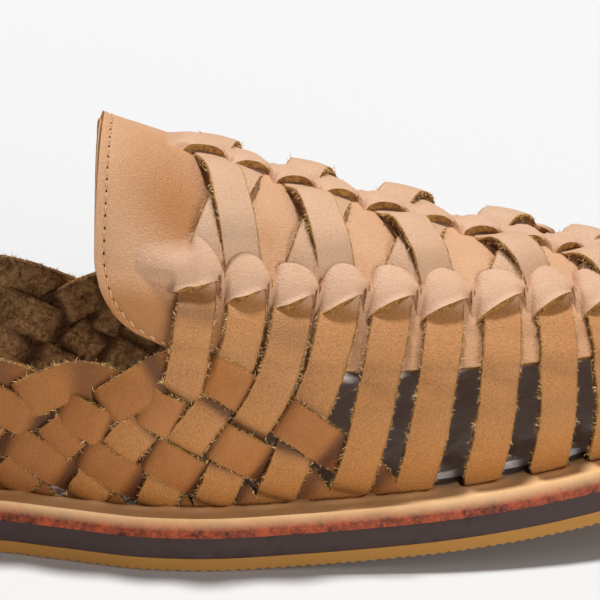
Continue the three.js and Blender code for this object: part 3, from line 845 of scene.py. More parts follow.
def soft_mark(mark, side, f, t):
    """A bell-shaped mark on one side of the panel."""
    where, at_f, at_t, wide, tall, amount = mark
    near = np.exp(-0.5 * (((f - at_f) / wide) ** 2 + ((t - at_t) / tall) ** 2))
    return amount * near * (side == where)


def soft_hollows(side, f, t):
    """Listed hollows and swells of the panel, in millimetres."""
    out = np.zeros_like(f)
    for mark in PANEL_HOLLOWS:
        out = out + soft_mark(mark, side, f, t)
    return out


def panel_shade(side, f, t):
    """How burnished the panel is, with painted shade in its hollows, between the straps and in the gaps
    below its side loops, and painted highlight on its swells.
    """
    out = PANEL_BASE_SHADE + 0 * f
    for mark in PANEL_SHADES:
        out = out + soft_mark(mark, side, f, t)
    gap = ease((along(LOOP_LINE, f) - GAP_BELOW - t) / 0.05) * ease((f - 0.5) / 0.03)
    return np.clip(out + PANEL_GAP_SHADE * gap, 0, 1.3)


LOOP_LINE = [(row[1], row[2]) for row in STRAPS]


def panel_rise(side, f, t):
    """Swells and hollows of the panel, held flat along the throat seam."""
    return soft_hollows(side, f, t) * ease((f - along(THROAT, t)) * FEATHER_LENGTH / THROAT_FLAT)


def panel_piece(thick):
    """The vamp panel, with a groove pressed along its throat seam."""
    side, f, t = panel_points()
    point, normal = LAST.at(side, f, t)
    from_edge = np.zeros(f.shape)
    from_edge[:, 1:] = np.cumsum(np.linalg.norm(np.diff(point, axis=1), axis=2), axis=1)
    groove = -GROOVE_DEPTH * np.exp(-0.5 * ((from_edge - SEAM_INSET) / GROOVE_REACH) ** 2)
    lift = thick / 2 + groove + panel_rise(side, f, t)
    points = point + normal * lift[..., None]
    run = running_length(point[:, 0])
    uv = np.stack([np.broadcast_to(run[:, None], f.shape), from_edge], axis=-1) / UV_UNIT
    return thick_sheet("vamp_panel", points, normal, thick, 0, uv, 0.4, {"shade": panel_shade(side, f, t)})


def lining_piece():
    """The second ply behind the throat edge."""
    side, f, t = panel_points()
    columns = np.r_[0:10, 10:40:3]
    side, f, t = side[:, columns], f[:, columns], t[:, columns]
    point, normal = LAST.at(side, f, t)
    forth = unit(np.gradient(point, axis=1))
    points = point - normal * LINING_SINK - forth * LINING_BACK
    return thick_sheet("throat_lining", points, normal, LINING_THICK, 0, None, 0.2)


# Profile of every loop across its strap, by phase from -1 to 1
LIP_SPAN = 0.88
LIP_POWER = 2.8
LIP_ROUND = 0.6
VALLEY_START = 0.35
CURL_SPAN = 0.84
CURL_REACH = 1.9
LOOP_STEPS = 41
SLIT_BEND = 0.85
LIP_BEVEL = 0.22

# Side loops: reach past the first and last in f, then millimetres up the wall from their line
SIDE_BEFORE = 0.047
SIDE_AFTER = 0.02
TOE_LIMIT = 0.994
SIDE_SLIT = (-6.2, -1.3, -9.0)
SIDE_TOP = 1.8
SIDE_SLANT = 0.9
SIDE_DOME = 2.9
ODD_DOME = 0.8
SIDE_ROWS = 21
BEYOND_START = 0.74
BEYOND_REACH = 0.12
LIP_EASE = 0.42
EDGE_EASE = 0.35
LEAN_BELOW = 7

# The panel's swell before the first loop of each row: distance before it and reach, in millimetres
START_REACH = 5.6
START_FLAT = 4.5
FIRST_TOP = 8.2
FIRST_FALL = 0.85
FIRST_PEAK = 1.1
SIDE_STEEP = (6.6, 2.2)
SIDE_RAMP = (16, 13)
SIDE_FALL = (3, 2.5)
CENTRE_STEEP = (6.0, 1.5)
CENTRE_RAMP = (10.6, 7)

# Centre loops: reach past the first and last in f, and half widths of their band in millimetres
CENTRE_BEFORE = 0.036
CENTRE_AFTER = 0.022
CENTRE_SLIT = (4.7, 1.7, 6.5)
CENTRE_COLUMNS = 25
CENTRE_CURL = 0.7
CENTRE_SHADE = 0.4


def rise(d, ramp):
    """0 before a ramp, easing to 1 over its reach."""
    before, reach = ramp
    return ease((d + before) / reach)


def loop_steps(centres, before, after):
    """Close steps along a row of loops: f, loop number, and phase from -1 to 1 across each loop."""
    edges = np.concatenate([[centres[0] - before], (centres[:-1] + centres[1:]) / 2, [centres[-1] + after]])
    f = np.unique(np.concatenate([np.linspace(a, b, LOOP_STEPS) for a, b in zip(edges[:-1], edges[1:])]))
    k = np.clip(np.searchsorted(edges, f, side="right") - 1, 0, len(centres) - 1)
    reach = np.where(f < centres[k], centres[k] - edges[k], edges[k + 1] - centres[k])
    return f, k, (f - centres[k]) / reach


def slit_line(phase, left, right, tongue):
    """A slit's edge: a slanted cut over the strap, with a tongue of the panel in the gap on each side."""
    u = np.clip((phase + SLIT_END) / (2 * SLIT_END), 0, 1)
    cut = left + (right - left) * u ** SLIT_BEND
    beyond = ease((np.abs(phase) - SLIT_END) / (1 - SLIT_END))
    return cut + (tongue - cut) * beyond


def loop_body(phase, inside):
    """How far the band rises: an arch at its lips, where inside is 0, and joined domes between the lips."""
    away = np.abs(phase)
    lip = np.clip(1 - (away / LIP_SPAN) ** LIP_POWER, 0, 1) ** LIP_ROUND
    dome = 1 - (1 - LOOP_VALLEY) * ease((away - VALLEY_START) / (1 - VALLEY_START))
    return lip + (dome - lip) * inside


def lip_flare(phase, from_lip):
    """The lip's outward curl, which turns its raw edge to the eye."""
    over = np.clip(1 - (phase / CURL_SPAN) ** 2, 0, 1)
    return LIP_CURL * over * np.clip(1 - from_lip / CURL_REACH, 0, 1) ** 2


def side_loops(side):
    """Grid of the row of side loops: points, normals, shade and layout."""
    rows = np.array(STRAPS)
    total = LAST.total[0 if side < 0 else 1]
    centres = rows[:, 1]
    f, k, phase = loop_steps(centres, SIDE_BEFORE, min(SIDE_AFTER, TOE_LIMIT - centres[-1]))
    d = (f - centres[0]) * total
    start = (k == 0) & (phase < 0)
    phase = np.where(start, np.maximum(d / START_REACH, -SLIT_END), phase)
    low = slit_line(phase, *SIDE_SLIT)
    low = np.where(start & (d < -START_FLAT), SIDE_SLIT[0] + 2.2 * ease((-START_FLAT - d) / 9), low)
    dome = np.maximum(1 - np.abs(phase) ** 2.4, 0) ** 0.75
    high = SIDE_TOP - SIDE_SLANT * phase + (SIDE_DOME + ODD_DOME * (k % 2)) * dome
    first = FIRST_TOP - FIRST_FALL * np.maximum(d + FIRST_PEAK, 0) - 2.2 * ease((-FIRST_PEAK - d) / 12)
    high = np.where(k == 0, first, high)
    v = np.linspace(0, 1, SIDE_ROWS)
    up = low[:, None] + (high - low)[:, None] * v
    beyond = ease((np.abs(phase[:, None]) - BEYOND_START) / BEYOND_REACH)
    inside = ease(v / LIP_EASE)
    inside = inside + (ease((up + 6.5) / 7.5) * ease(v / EDGE_EASE) - inside) * beyond
    body = loop_body(phase[:, None], inside * ease((1 - v) / EDGE_EASE))
    steep = rise(d[:, None], SIDE_STEEP)
    ramp = rise(d[:, None], SIDE_RAMP)
    fall = (1 - rise(d[:, None], SIDE_FALL)) * ease((v - 0.4) / 0.6)
    swell = (steep + (ramp - steep) * ease(v / 0.4)) * (1 - fall)
    body = np.where(start[:, None], swell, body)
    crown = LIP_LIFT + 0.3 * np.sin(np.pi * v) - 0.8 * v**2
    flare = lip_flare(phase[:, None], up - low[:, None])
    lift = SHEET_FLOOR + (crown[None] - SHEET_FLOOR) * body + flare
    girth = LAST.girth(side, f)
    t = along(np.column_stack([centres, rows[:, 2]]), f)[:, None] + up / girth[:, None]
    lean = []
    for number in range(len(STRAPS)):
        line = vamp_line(number, side)
        lower = line[np.argmin(np.abs(line[:, 1] - line[0, 1] + LEAN_BELOW))]
        lean.append(abs(line[0, 0] - lower[0]) / LEAN_BELOW)
    lean = np.interp(f, centres, lean)
    wide_f = f[:, None] + lean[:, None] * np.minimum(up, 0) / total
    sides = np.full(up.shape, side)
    point, normal = LAST.at(sides, wide_f, t)
    points = point + normal * (lift + panel_rise(sides, wide_f, t))[..., None]
    uv = np.stack([wide_f * total, up], axis=-1) / UV_UNIT
    # Painted shade, darker where the band sinks to its slits and valleys; on the first loop's swell the
    # panel's shade grows paler as it rises, painted highlight
    shade = np.where(start[:, None], panel_shade(sides, wide_f, t) * (1 - 0.8 * body), 0.5 - 0.5 * body)
    return points, normal, shade, uv


def centre_loops():
    """Grid of the row of centre loops along the top line: points, normals, shade and layout."""
    centres = np.array(STRAPS)[:CREST_LOOPS, 3]
    f, k, phase = loop_steps(centres, CENTRE_BEFORE, CENTRE_AFTER)
    d = (f - centres[0]) * FEATHER_LENGTH
    start = (k == 0) & (phase < 0)
    phase = np.where(start, np.maximum(d / START_REACH, -SLIT_END), phase)
    half = slit_line(phase, *CENTRE_SLIT)
    half = np.where(start & (d < -START_FLAT), CENTRE_SLIT[0] + 1.5 * ease((-START_FLAT - d) / 6), half)
    w = np.linspace(-1, 1, CENTRE_COLUMNS)
    across = half[:, None] * w
    middle = np.broadcast_to(np.cos(w * np.pi / 2), across.shape).clip(0, 1)
    body = loop_body(phase[:, None], ease(middle / 0.8))
    steep = rise(d[:, None], CENTRE_STEEP)
    ramp = rise(d[:, None], CENTRE_RAMP)
    body = np.where(start[:, None], steep + (ramp - steep) * ease(middle / 0.6), body)
    crown = CREST_LIFT + 0.5 * middle
    flare = CENTRE_CURL * lip_flare(phase[:, None], half[:, None] - np.abs(across))
    lift = SHEET_FLOOR + (crown - SHEET_FLOOR) * body + flare
    girth = LAST.girth(-1, f)
    side = np.where(across < 0, -1, 1)
    t = 1 - np.abs(across) / girth[:, None]
    wide_f = np.broadcast_to(f[:, None], t.shape)
    point, normal = LAST.at(side, wide_f, t)
    points = point + normal * (lift + panel_rise(side, wide_f, t))[..., None]
    uv = np.stack([wide_f * FEATHER_LENGTH, across], axis=-1) / UV_UNIT
    # Painted shade, darker where the centre band sinks to its slits and valleys
    return points, normal, CENTRE_SHADE - CENTRE_SHADE * body, uv


def loop_piece(name, grid):
    """One band of the panel that rises over every strap, with a raw lip where it is slit."""
    points, normal, shade, uv = grid
    return thick_sheet(name, points, normal, SHEET_THICK, -1, uv, LIP_BEVEL, {"shade": shade})


# Throat stitches: share of the pitch that the thread shows, its lift, slant, thickness and sides
STITCH_REACH = (0.14, 0.86)
STITCH_STEPS = 9
STITCH_SINK = 0.34
STITCH_ARCH = 0.26
STITCH_SLANT = 0.5
STITCH_SCATTER = 0.03
THREAD_HALF = 0.235
THREAD_SIDES = 8
THREAD_SEED = 5


def throat_stitches(pitch, inset):
    """Thread of the throat seam: one plump stitch between each pair of holes."""
    side, f, t = panel_points()
    point, normal = LAST.at(side, f, t)
    from_edge = np.zeros(f.shape)
    from_edge[:, 1:] = np.cumsum(np.linalg.norm(np.diff(point, axis=1), axis=2), axis=1)
    line, lie = [], []
    for r in range(f.shape[0]):
        line.append([np.interp(inset, from_edge[r], point[r, :, a]) for a in range(3)])
        lie.append([np.interp(inset, from_edge[r], normal[r, :, a]) for a in range(3)])
    line, lie = np.array(line), unit(np.array(lie))
    run = running_length(line)
    count = int(run[-1] / pitch)
    pieces = []
    rng = np.random.default_rng(THREAD_SEED)
    turn = np.linspace(0, 2 * np.pi, THREAD_SIDES + 1)[:-1]
    reach = np.linspace(*STITCH_REACH, STITCH_STEPS)
    arch = np.sin(np.pi * np.linspace(0, 1, STITCH_STEPS))
    for s in range(count):
        at = (s + reach) * pitch
        centre = np.stack([np.interp(at, run, line[:, a]) for a in range(3)], axis=1)
        up = unit(np.stack([np.interp(at, run, lie[:, a]) for a in range(3)], axis=1))
        heading = unit(np.gradient(centre, axis=0))
        across = np.cross(heading, up)
        centre = centre + up * (PANEL_THICK - STITCH_SINK + STITCH_ARCH * arch)[:, None]
        centre += across * ((reach - 0.5) * STITCH_SLANT + rng.normal(0, STITCH_SCATTER))[:, None]
        thick = THREAD_HALF * (0.55 + 0.45 * arch)
        ring = across[:, None] * np.cos(turn)[None, :, None] + up[:, None] * np.sin(turn)[None, :, None]
        rings = centre[:, None] + ring * thick[:, None, None]
        pieces.append(rings)
    plain = np.zeros(THREAD_SIDES)
    bodies = [swept(f"stitch_{i}", r, plain, plain, 0.5) for i, r in enumerate(pieces)]
    piece = join(bodies, "throat_stitches")
    weld(piece)
    smooth(piece, 80)
    return piece


# Loose fibres: how many to a millimetre of edge, their length, half thickness and points
FIBRE_DENSITY = 3.2
FIBRE_SIZE = 0.72
FIBRE_HALF = (0.055, 0.11)
FIBRE_POINTS = 7
FIBRE_SEED = 11
EDGE_COLUMNS = (((7, 8, 9, 10), 1), ((17, 18, 19, 20), -1))


def fibre_mesh(name, roots, out, up, forth, size, rng):
    """Loose fibres: short tapered hairs that curl away from their roots."""
    count = len(roots)
    lean = out * rng.uniform(0.4, 1.1, (count, 1)) + up * rng.normal(0.1, 0.55, (count, 1))
    lean = unit(lean + forth * rng.normal(0, 0.7, (count, 1)))
    curl = unit(up * rng.normal(0, 1, (count, 1)) + forth * rng.normal(0, 1, (count, 1)))
    length = np.clip(rng.gamma(2.6, size / 2.6, (count, 1)), 0.15, size * 2.6)
    thick = rng.uniform(*FIBRE_HALF, (count, 1))
    a = unit(np.cross(lean, curl))
    b = np.cross(lean, a)
    mid = roots + lean * length * 0.5 + curl * length * 0.1
    tip = roots + lean * length * 0.85 + curl * length * 0.45
    points = []
    for centre, scale in ((roots - lean * 0.12, 1.0), (mid, 0.75)):
        for turn in (0, 2 * np.pi / 3, 4 * np.pi / 3):
            points.append(centre + (a * math.cos(turn) + b * math.sin(turn)) * thick * scale)
    points.append(tip)
    points = np.stack(points, axis=1)
    faces = [(0, 2, 1)]
    for k in range(3):
        n = (k + 1) % 3
        faces += [(k, n, 3 + n), (k, 3 + n, 3 + k), (3 + k, 3 + n, 6)]
    faces = np.array(faces)
    index = (np.arange(count)[:, None, None] * FIBRE_POINTS + faces[None]).reshape(-1, 3)
    mesh = bpy.data.meshes.new(name)
    mesh.from_pydata(to_frame(points.reshape(-1, 3)).tolist(), [], index.tolist())
    mesh.validate()
    piece = bpy.data.objects.new(name, mesh)
    bpy.context.scene.collection.objects.link(piece)
    give(piece, "tone", np.repeat(rng.uniform(0, 1, count), FIBRE_POINTS))
    weld(piece)
    return piece


def edge_fibres(kinds, name, sizes):
    """Fibres along both cut edges of every strap of the given kinds."""
    rng = np.random.default_rng(sizes.seed)
    scatter = np.random.default_rng(sizes.seed + FIBRE_SEED)
    width, thick = sizes.strap_width * MM, sizes.strap_thick * MM
    roots, out, up, forth = [], [], [], []
    for kind, number, route in strap_routes():
        rng.uniform(0, 1)
        rings, _, _ = strap_rings(kind, number, route, width, thick, rng)
        if kind not in kinds:
            continue
        _, _, sideways, normal, _, _ = strap_frame(route)
        heading = np.cross(normal, sideways)
        for columns, sign in EDGE_COLUMNS:
            count = int(len(rings) * STRAP_STEP * FIBRE_DENSITY)
            wave = np.sin(np.arange(len(rings)) * 0.9 + scatter.uniform(0, 6))
            clump = 0.5 + 0.5 * wave * scatter.uniform(0.4, 1)
            chance = clump / clump.sum()
            at = scatter.choice(len(rings), count, p=chance)
            column = scatter.choice(columns, count)
            share = scatter.uniform(0, 1, (count, 1))
            nxt = np.minimum(at + 1, len(rings) - 1)
            roots.append(rings[at, column] * (1 - share) + rings[nxt, column] * share)
            out.append(sideways[at] * sign)
            up.append(normal[at])
            forth.append(heading[at])
    stacked = [np.concatenate(x) for x in (roots, out, up, forth)]
    return fibre_mesh(name, *stacked, FIBRE_SIZE, scatter)


# Pieces of the sole

def sole_points(stations, across, inset, height):
    """A layer's face as a grid: stations by shares of the width."""
    x = np.broadcast_to(stations[:, None], (len(stations), len(across)))
    outer = sole_edge(-1, stations, inset)
    inner = sole_edge(1, stations, inset)
    middle = middle_line(stations)
    reach = np.where(across[None] < 0, (middle - outer)[:, None], (inner - middle)[:, None])
    y = middle[:, None] + across[None] * reach
    z = height + spring(x)
    return np.stack([x, y, z + 0 * y], axis=-1)


def coords(piece):
    out = np.zeros(len(piece.data.vertices) * 3, np.float32)
    piece.data.vertices.foreach_get("co", out)
    return out.reshape(-1, 3).astype(float)


def set_coords(piece, points):
    piece.data.vertices.foreach_set("co", points.astype(np.float32).ravel())
    piece.data.update()


def layer(name, top, thick, inset, bevel, across, stations, segments=3):
    """A layer of the sole: a grid laid to its outline, thickened downward, with softened edges."""
    points = sole_points(stations, across, inset, top)
    piece = grid_piece(name, points)
    if piece.data.polygons[len(piece.data.polygons) // 2].normal.z < 0:
        piece.data.flip_normals()
    weld(piece, outward=False)
    modify(piece, "SOLIDIFY", thickness=thick / MM, offset=-1, use_even_offset=False)
    shape = coords(piece)
    x = shape[:, 0] * MM + LENGTH / 2
    under = shape[:, 2] * MM < spring(x) + top - thick / 2
    shape[:, 2] = np.where(under, (spring(x) + top - thick) / MM, (spring(x) + top) / MM)
    set_coords(piece, shape)
    if bevel:
        angle = math.radians(50)
        modify(piece, "BEVEL", width=bevel / MM, segments=segments, limit_method="ANGLE", angle_limit=angle)
    weld(piece)
    return piece


def skirt(piece):
    """How far each point faces sideways, for the edge dye."""
    normals = np.array([v.normal.z for v in piece.data.vertices])
    give(piece, "skirt", np.clip(1 - np.maximum(normals, 0), 0, 1))


def strap_feet():
    """Where every strap enters the base: its point and its direction along the feather line."""
    feet = []
    for kind, _, route in strap_routes():
        _, line, sideways, _, _, _ = strap_frame(route)
        feet.append((line[0], sideways[0]))
        if kind != "toe":
            feet.append((line[-1], sideways[-1]))
    return feet


# Slots of the platform: half length and half width of the hole, its soft edge, sink and raised rim
SLOT_HALF_LONG = 2.9
SLOT_HALF_WIDE = 1.1
SLOT_SOFT = 1.5
SLOT_SINK = 1.5
RIM_RISE = 0.25
RIM_AWAY = 2.2
RIM_REACH = 0.8


def base_piece():
    """The leather platform, with a soft-rimmed slot at every strap foot."""
    outer, middle, inner = np.linspace(-1, -0.52, 34), np.linspace(-0.48, 0.48, 12), np.linspace(0.52, 1, 34)
    across = np.concatenate([outer, middle, inner])
    piece = layer("leather_platform", STACK, BASE_THICK, 0, 1.1, across, round_stations(330, 0), 4)
    skirt(piece)
    mm = coords(piece) * MM + ORIGIN
    top = mm[:, 2] > STACK + spring(mm[:, 0]) - 0.6
    slot = np.zeros(len(mm))
    for foot, sideways in strap_feet():
        flat = np.array([sideways[0], sideways[1]])
        flat /= np.linalg.norm(flat)
        thin = np.array([-flat[1], flat[0]])
        d = mm[:, :2] - foot[:2]
        a, b = np.abs(d @ flat), np.abs(d @ thin)
        away = np.hypot(np.maximum(a - SLOT_HALF_LONG, 0), np.maximum(b - SLOT_HALF_WIDE, 0))
        slot = np.maximum(slot, 1 - ease(away / SLOT_SOFT))
        mm[:, 2] += np.where(top, RIM_RISE * np.exp(-0.5 * ((away - RIM_AWAY) / RIM_REACH) ** 2), 0)
    mm[:, 2] -= np.where(top, SLOT_SINK * slot, 0)
    set_coords(piece, (mm - ORIGIN) / MM)
    # Painted shade in each slot
    give(piece, "slot", np.where(top, slot, 0))
    x = np.clip(mm[:, 0], 2, LENGTH - 2)
    from_inner = sole_edge(1, x, FEATHER_INSET) - mm[:, 1]
    from_outer = mm[:, 1] - sole_edge(-1, x, FEATHER_INSET)
    within = np.minimum(from_inner, from_outer)
    within = np.minimum(within, np.minimum(x, LENGTH - x) - FEATHER_INSET)
    # Painted shade on the platform's top inside the feather line, where the upper hides it
    give(piece, "inner", np.where(top, ease((within + 2.2) / 1.2), 0))
    smooth(piece, 60)
    return piece


def midsole_piece():
    """The dark rubber layer between the gum and the platform."""
    across = np.linspace(-1, 1, 9)
    top = OUTSOLE_THICK + LAYER_GAP + MIDSOLE_THICK + 0.2
    piece = layer("dark_midsole", top, MIDSOLE_THICK + 0.3, 0.15, 0.25, across, round_stations(260, 0.15), 2)
    smooth(piece, 50)
    return piece


def outsole_piece(pitch, depth):
    """The gum layer, with its fine cross ridges underneath."""
    middle = np.arange(6 * pitch, LENGTH - 6 * pitch, pitch / 4)
    ends = round_stations(260, 0)
    stations = np.sort(np.concatenate([ends[ends < middle[0] - 0.2], middle, ends[ends > middle[-1] + 0.2]]))
    thick = OUTSOLE_THICK + 0.15
    piece = layer("gum_outsole", thick, thick, 0, 0, np.linspace(-1, 1, 9), stations)
    points = coords(piece)
    x = points[:, 0] * MM + LENGTH / 2
    under = points[:, 2] * MM < spring(x) + OUTSOLE_THICK / 2
    tooth = np.abs((x / pitch) % 1 - 0.5) * 2
    points[:, 2] += np.where(under, depth / MM * ease(tooth), 0)
    set_coords(piece, points)
    smooth(piece, 40)
    return piece


# Soft wear of the insole, in millimetres
BROAD_WAVE = 0.22
FINE_WAVE = 0.12
WAVE_SINK = 0.15


def insole_piece():
    """The suede footbed, with a soft uneven wear on its top."""
    stations = round_stations(220, INSOLE_INSET)
    height = STACK + LAYER_GAP + INSOLE_THICK
    across = np.linspace(-1, 1, 73)
    piece = layer("suede_insole", height, INSOLE_THICK + 0.25, INSOLE_INSET, 0.6, across, stations)
    mm = coords(piece) * MM + ORIGIN
    top = mm[:, 2] > STACK + LAYER_GAP + 0.8 + spring(mm[:, 0])
    x, y = mm[:, 0], mm[:, 1]
    wave = BROAD_WAVE * np.sin(x * 0.31 + 2.2 * np.sin(y * 0.11)) * np.sin(y * 0.17 + x * 0.05)
    wave += FINE_WAVE * np.sin(x * 0.9 + 3 * np.sin(y * 0.23 + 1))
    mm[:, 2] += np.where(top, wave - WAVE_SINK, 0)
    set_coords(piece, (mm - ORIGIN) / MM)
    smooth(piece, 60)
    return piece


# Materials

def linear(r, g, b):
    """A colour read from a screen, as light."""
    def one(c):
        c /= 255
        return c / 12.92 if c <= 0.04045 else ((c + 0.055) / 1.055) ** 2.4
    return (one(r), one(g), one(b), 1)


class Tree:
    """Short ways to add and link shader nodes."""

    def __init__(self, tree):
        self.tree = tree
        self.nodes = tree.nodes

    def add(self, kind, inputs=None, **settings):
        node = self.nodes.new("ShaderNode" + kind)
        self.lay(node)
        for key, value in settings.items():
            setattr(node, key, value)
        for key, value in (inputs or {}).items():
            self.wire(value, node.inputs[key])
        return node

    def lay(self, node):
        """Puts a node in the next free place of the editor, twelve to a row."""
        row, column = divmod(len(self.nodes), 12)
        node.location = (200 * column, -220 * row)

    def wire(self, value, socket):
        """Links a node's output to a socket, or sets the socket's own value."""
        if isinstance(value, bpy.types.NodeSocket):
            self.tree.links.new(value, socket)
        else:
            socket.default_value = value

    def noise(self, vector, scale, detail=4.0, rough=0.55, distortion=0.0):
        inputs = {"Vector": vector, "Scale": scale, "Detail": detail, "Roughness": rough}
        inputs["Distortion"] = distortion
        return self.add("TexNoise", inputs).outputs["Fac"]

    def cells(self, vector, scale, feature="F1", out="Distance"):
        node = self.add("TexVoronoi", {"Vector": vector, "Scale": scale}, feature=feature)
        return node.outputs[out]

    def math(self, operation, a, b=None, clamp=False):
        inputs = {0: a} if b is None else {0: a, 1: b}
        return self.add("Math", inputs, operation=operation, use_clamp=clamp).outputs[0]

    def span(self, value, low, high, to_low=0.0, to_high=1.0):
        inputs = {"Value": value, "From Min": low, "From Max": high, "To Min": to_low, "To Max": to_high}
        return self.add("MapRange", inputs, clamp=True).outputs["Result"]

    def mix(self, fac, a, b, blend="MIX"):
        node = self.nodes.new("ShaderNodeMix")
        node.data_type = "RGBA"
        node.blend_type = blend
        self.lay(node)
        for place, value in ((0, fac), (6, a), (7, b)):
            self.wire(value, node.inputs[place])
        return node.outputs[2]

    def attribute(self, name):
        return self.add("Attribute", attribute_name=name).outputs["Fac"]

    def group(self, name, inputs):
        node = self.nodes.new("ShaderNodeGroup")
        node.node_tree = bpy.data.node_groups[name]
        for key, value in inputs.items():
            self.wire(value, node.inputs[key])
        return node.outputs


def new_group(name, inputs, outputs):
    group = bpy.data.node_groups.new(name, "ShaderNodeTree")
    for label, kind, default in inputs:
        socket = group.interface.new_socket(name=label, in_out="INPUT", socket_type=kind)
        if default is not None:
            socket.default_value = default
    for label, kind in outputs:
        group.interface.new_socket(name=label, in_out="OUTPUT", socket_type=kind)
    tree = Tree(group)
    source = group.nodes.new("NodeGroupInput")
    target = group.nodes.new("NodeGroupOutput")
    return tree, source.outputs, target.inputs, group.links.new


def grain_group():
    """Pores and mottle of grain leather. Sizes are in metres."""
    tree, given, out, link = new_group(
        "leather_grain",
        [
            ("Vector", "NodeSocketVector", None), ("Pore Size", "NodeSocketFloat", 0.0006),
            ("Mottle Size", "NodeSocketFloat", 0.009),
        ],
        [("Height", "NodeSocketFloat"), ("Speckle", "NodeSocketFloat"), ("Mottle", "NodeSocketFloat")],
    )
    pore = tree.math("DIVIDE", 1.0, given["Pore Size"])
    cells = tree.cells(given["Vector"], pore, "SMOOTH_F1")
    fine = tree.noise(given["Vector"], tree.math("MULTIPLY", pore, 1.6), 3.0, 0.6)
    soft = tree.noise(given["Vector"], tree.math("MULTIPLY", pore, 0.3), 2.0, 0.5)
    grit = tree.noise(given["Vector"], tree.math("MULTIPLY", pore, 0.95), 3.0, 0.6)
    height = tree.math("ADD", tree.math("MULTIPLY", cells, 0.5), tree.math("MULTIPLY", fine, 0.4))
    height = tree.math("ADD", height, tree.math("MULTIPLY", grit, 0.6))
    link(tree.math("ADD", height, tree.math("MULTIPLY", soft, 0.25)), out["Height"])
    link(tree.span(grit, 0.42, 0.6), out["Speckle"])
    broad = tree.noise(given["Vector"], tree.math("DIVIDE", 1.0, given["Mottle Size"]), 5.0, 0.62)
    link(tree.span(broad, 0.34, 0.66), out["Mottle"])


def fibre_group():
    """The torn, hairy look of cut edges and the flesh side."""
    tree, given, out, link = new_group(
        "raw_fibres",
        [("Vector", "NodeSocketVector", None), ("Size", "NodeSocketFloat", 0.0006)],
        [("Height", "NodeSocketFloat"), ("Shade", "NodeSocketFloat")],
    )
    scale = tree.math("DIVIDE", 1.0, given["Size"])
    strands = tree.noise(given["Vector"], scale, 6.0, 0.7, 1.2)
    tufts = tree.noise(given["Vector"], tree.math("MULTIPLY", scale, 0.28), 4.0, 0.6, 0.8)
    link(tree.math("ADD", tree.math("MULTIPLY", tufts, 1.3), strands), out["Height"])
    mixed = tree.math("ADD", tree.math("MULTIPLY", strands, 0.6), tree.math("MULTIPLY", tufts, 0.5))
    link(tree.span(mixed, 0.43, 0.66), out["Shade"])


def start_material(name):
    material = bpy.data.materials.new(name)
    material.use_nodes = True
    material.node_tree.nodes.clear()
    tree = Tree(material.node_tree)
    shader = tree.add("BsdfPrincipled")
    output = tree.add("OutputMaterial")
    tree.wire(shader.outputs["BSDF"], output.inputs["Surface"])
    place = tree.add("TexCoord").outputs["Object"]
    return material, tree, shader, place


def bump(tree, height, strength, distance, normal=None):
    inputs = {"Height": height, "Strength": strength, "Distance": distance}
    if normal is not None:
        inputs["Normal"] = normal
    return tree.add("Bump", inputs).outputs["Normal"]


RAW_LIGHT = linear(206, 150, 78)
RAW_DARK = linear(112, 66, 26)
FLESH_LIGHT = linear(255, 208, 146)
FLESH_DARK = linear(112, 64, 32)
BEND_SHADE_BROWN = linear(66, 34, 16)
HOLE_SHADE_BROWN = linear(58, 34, 20)


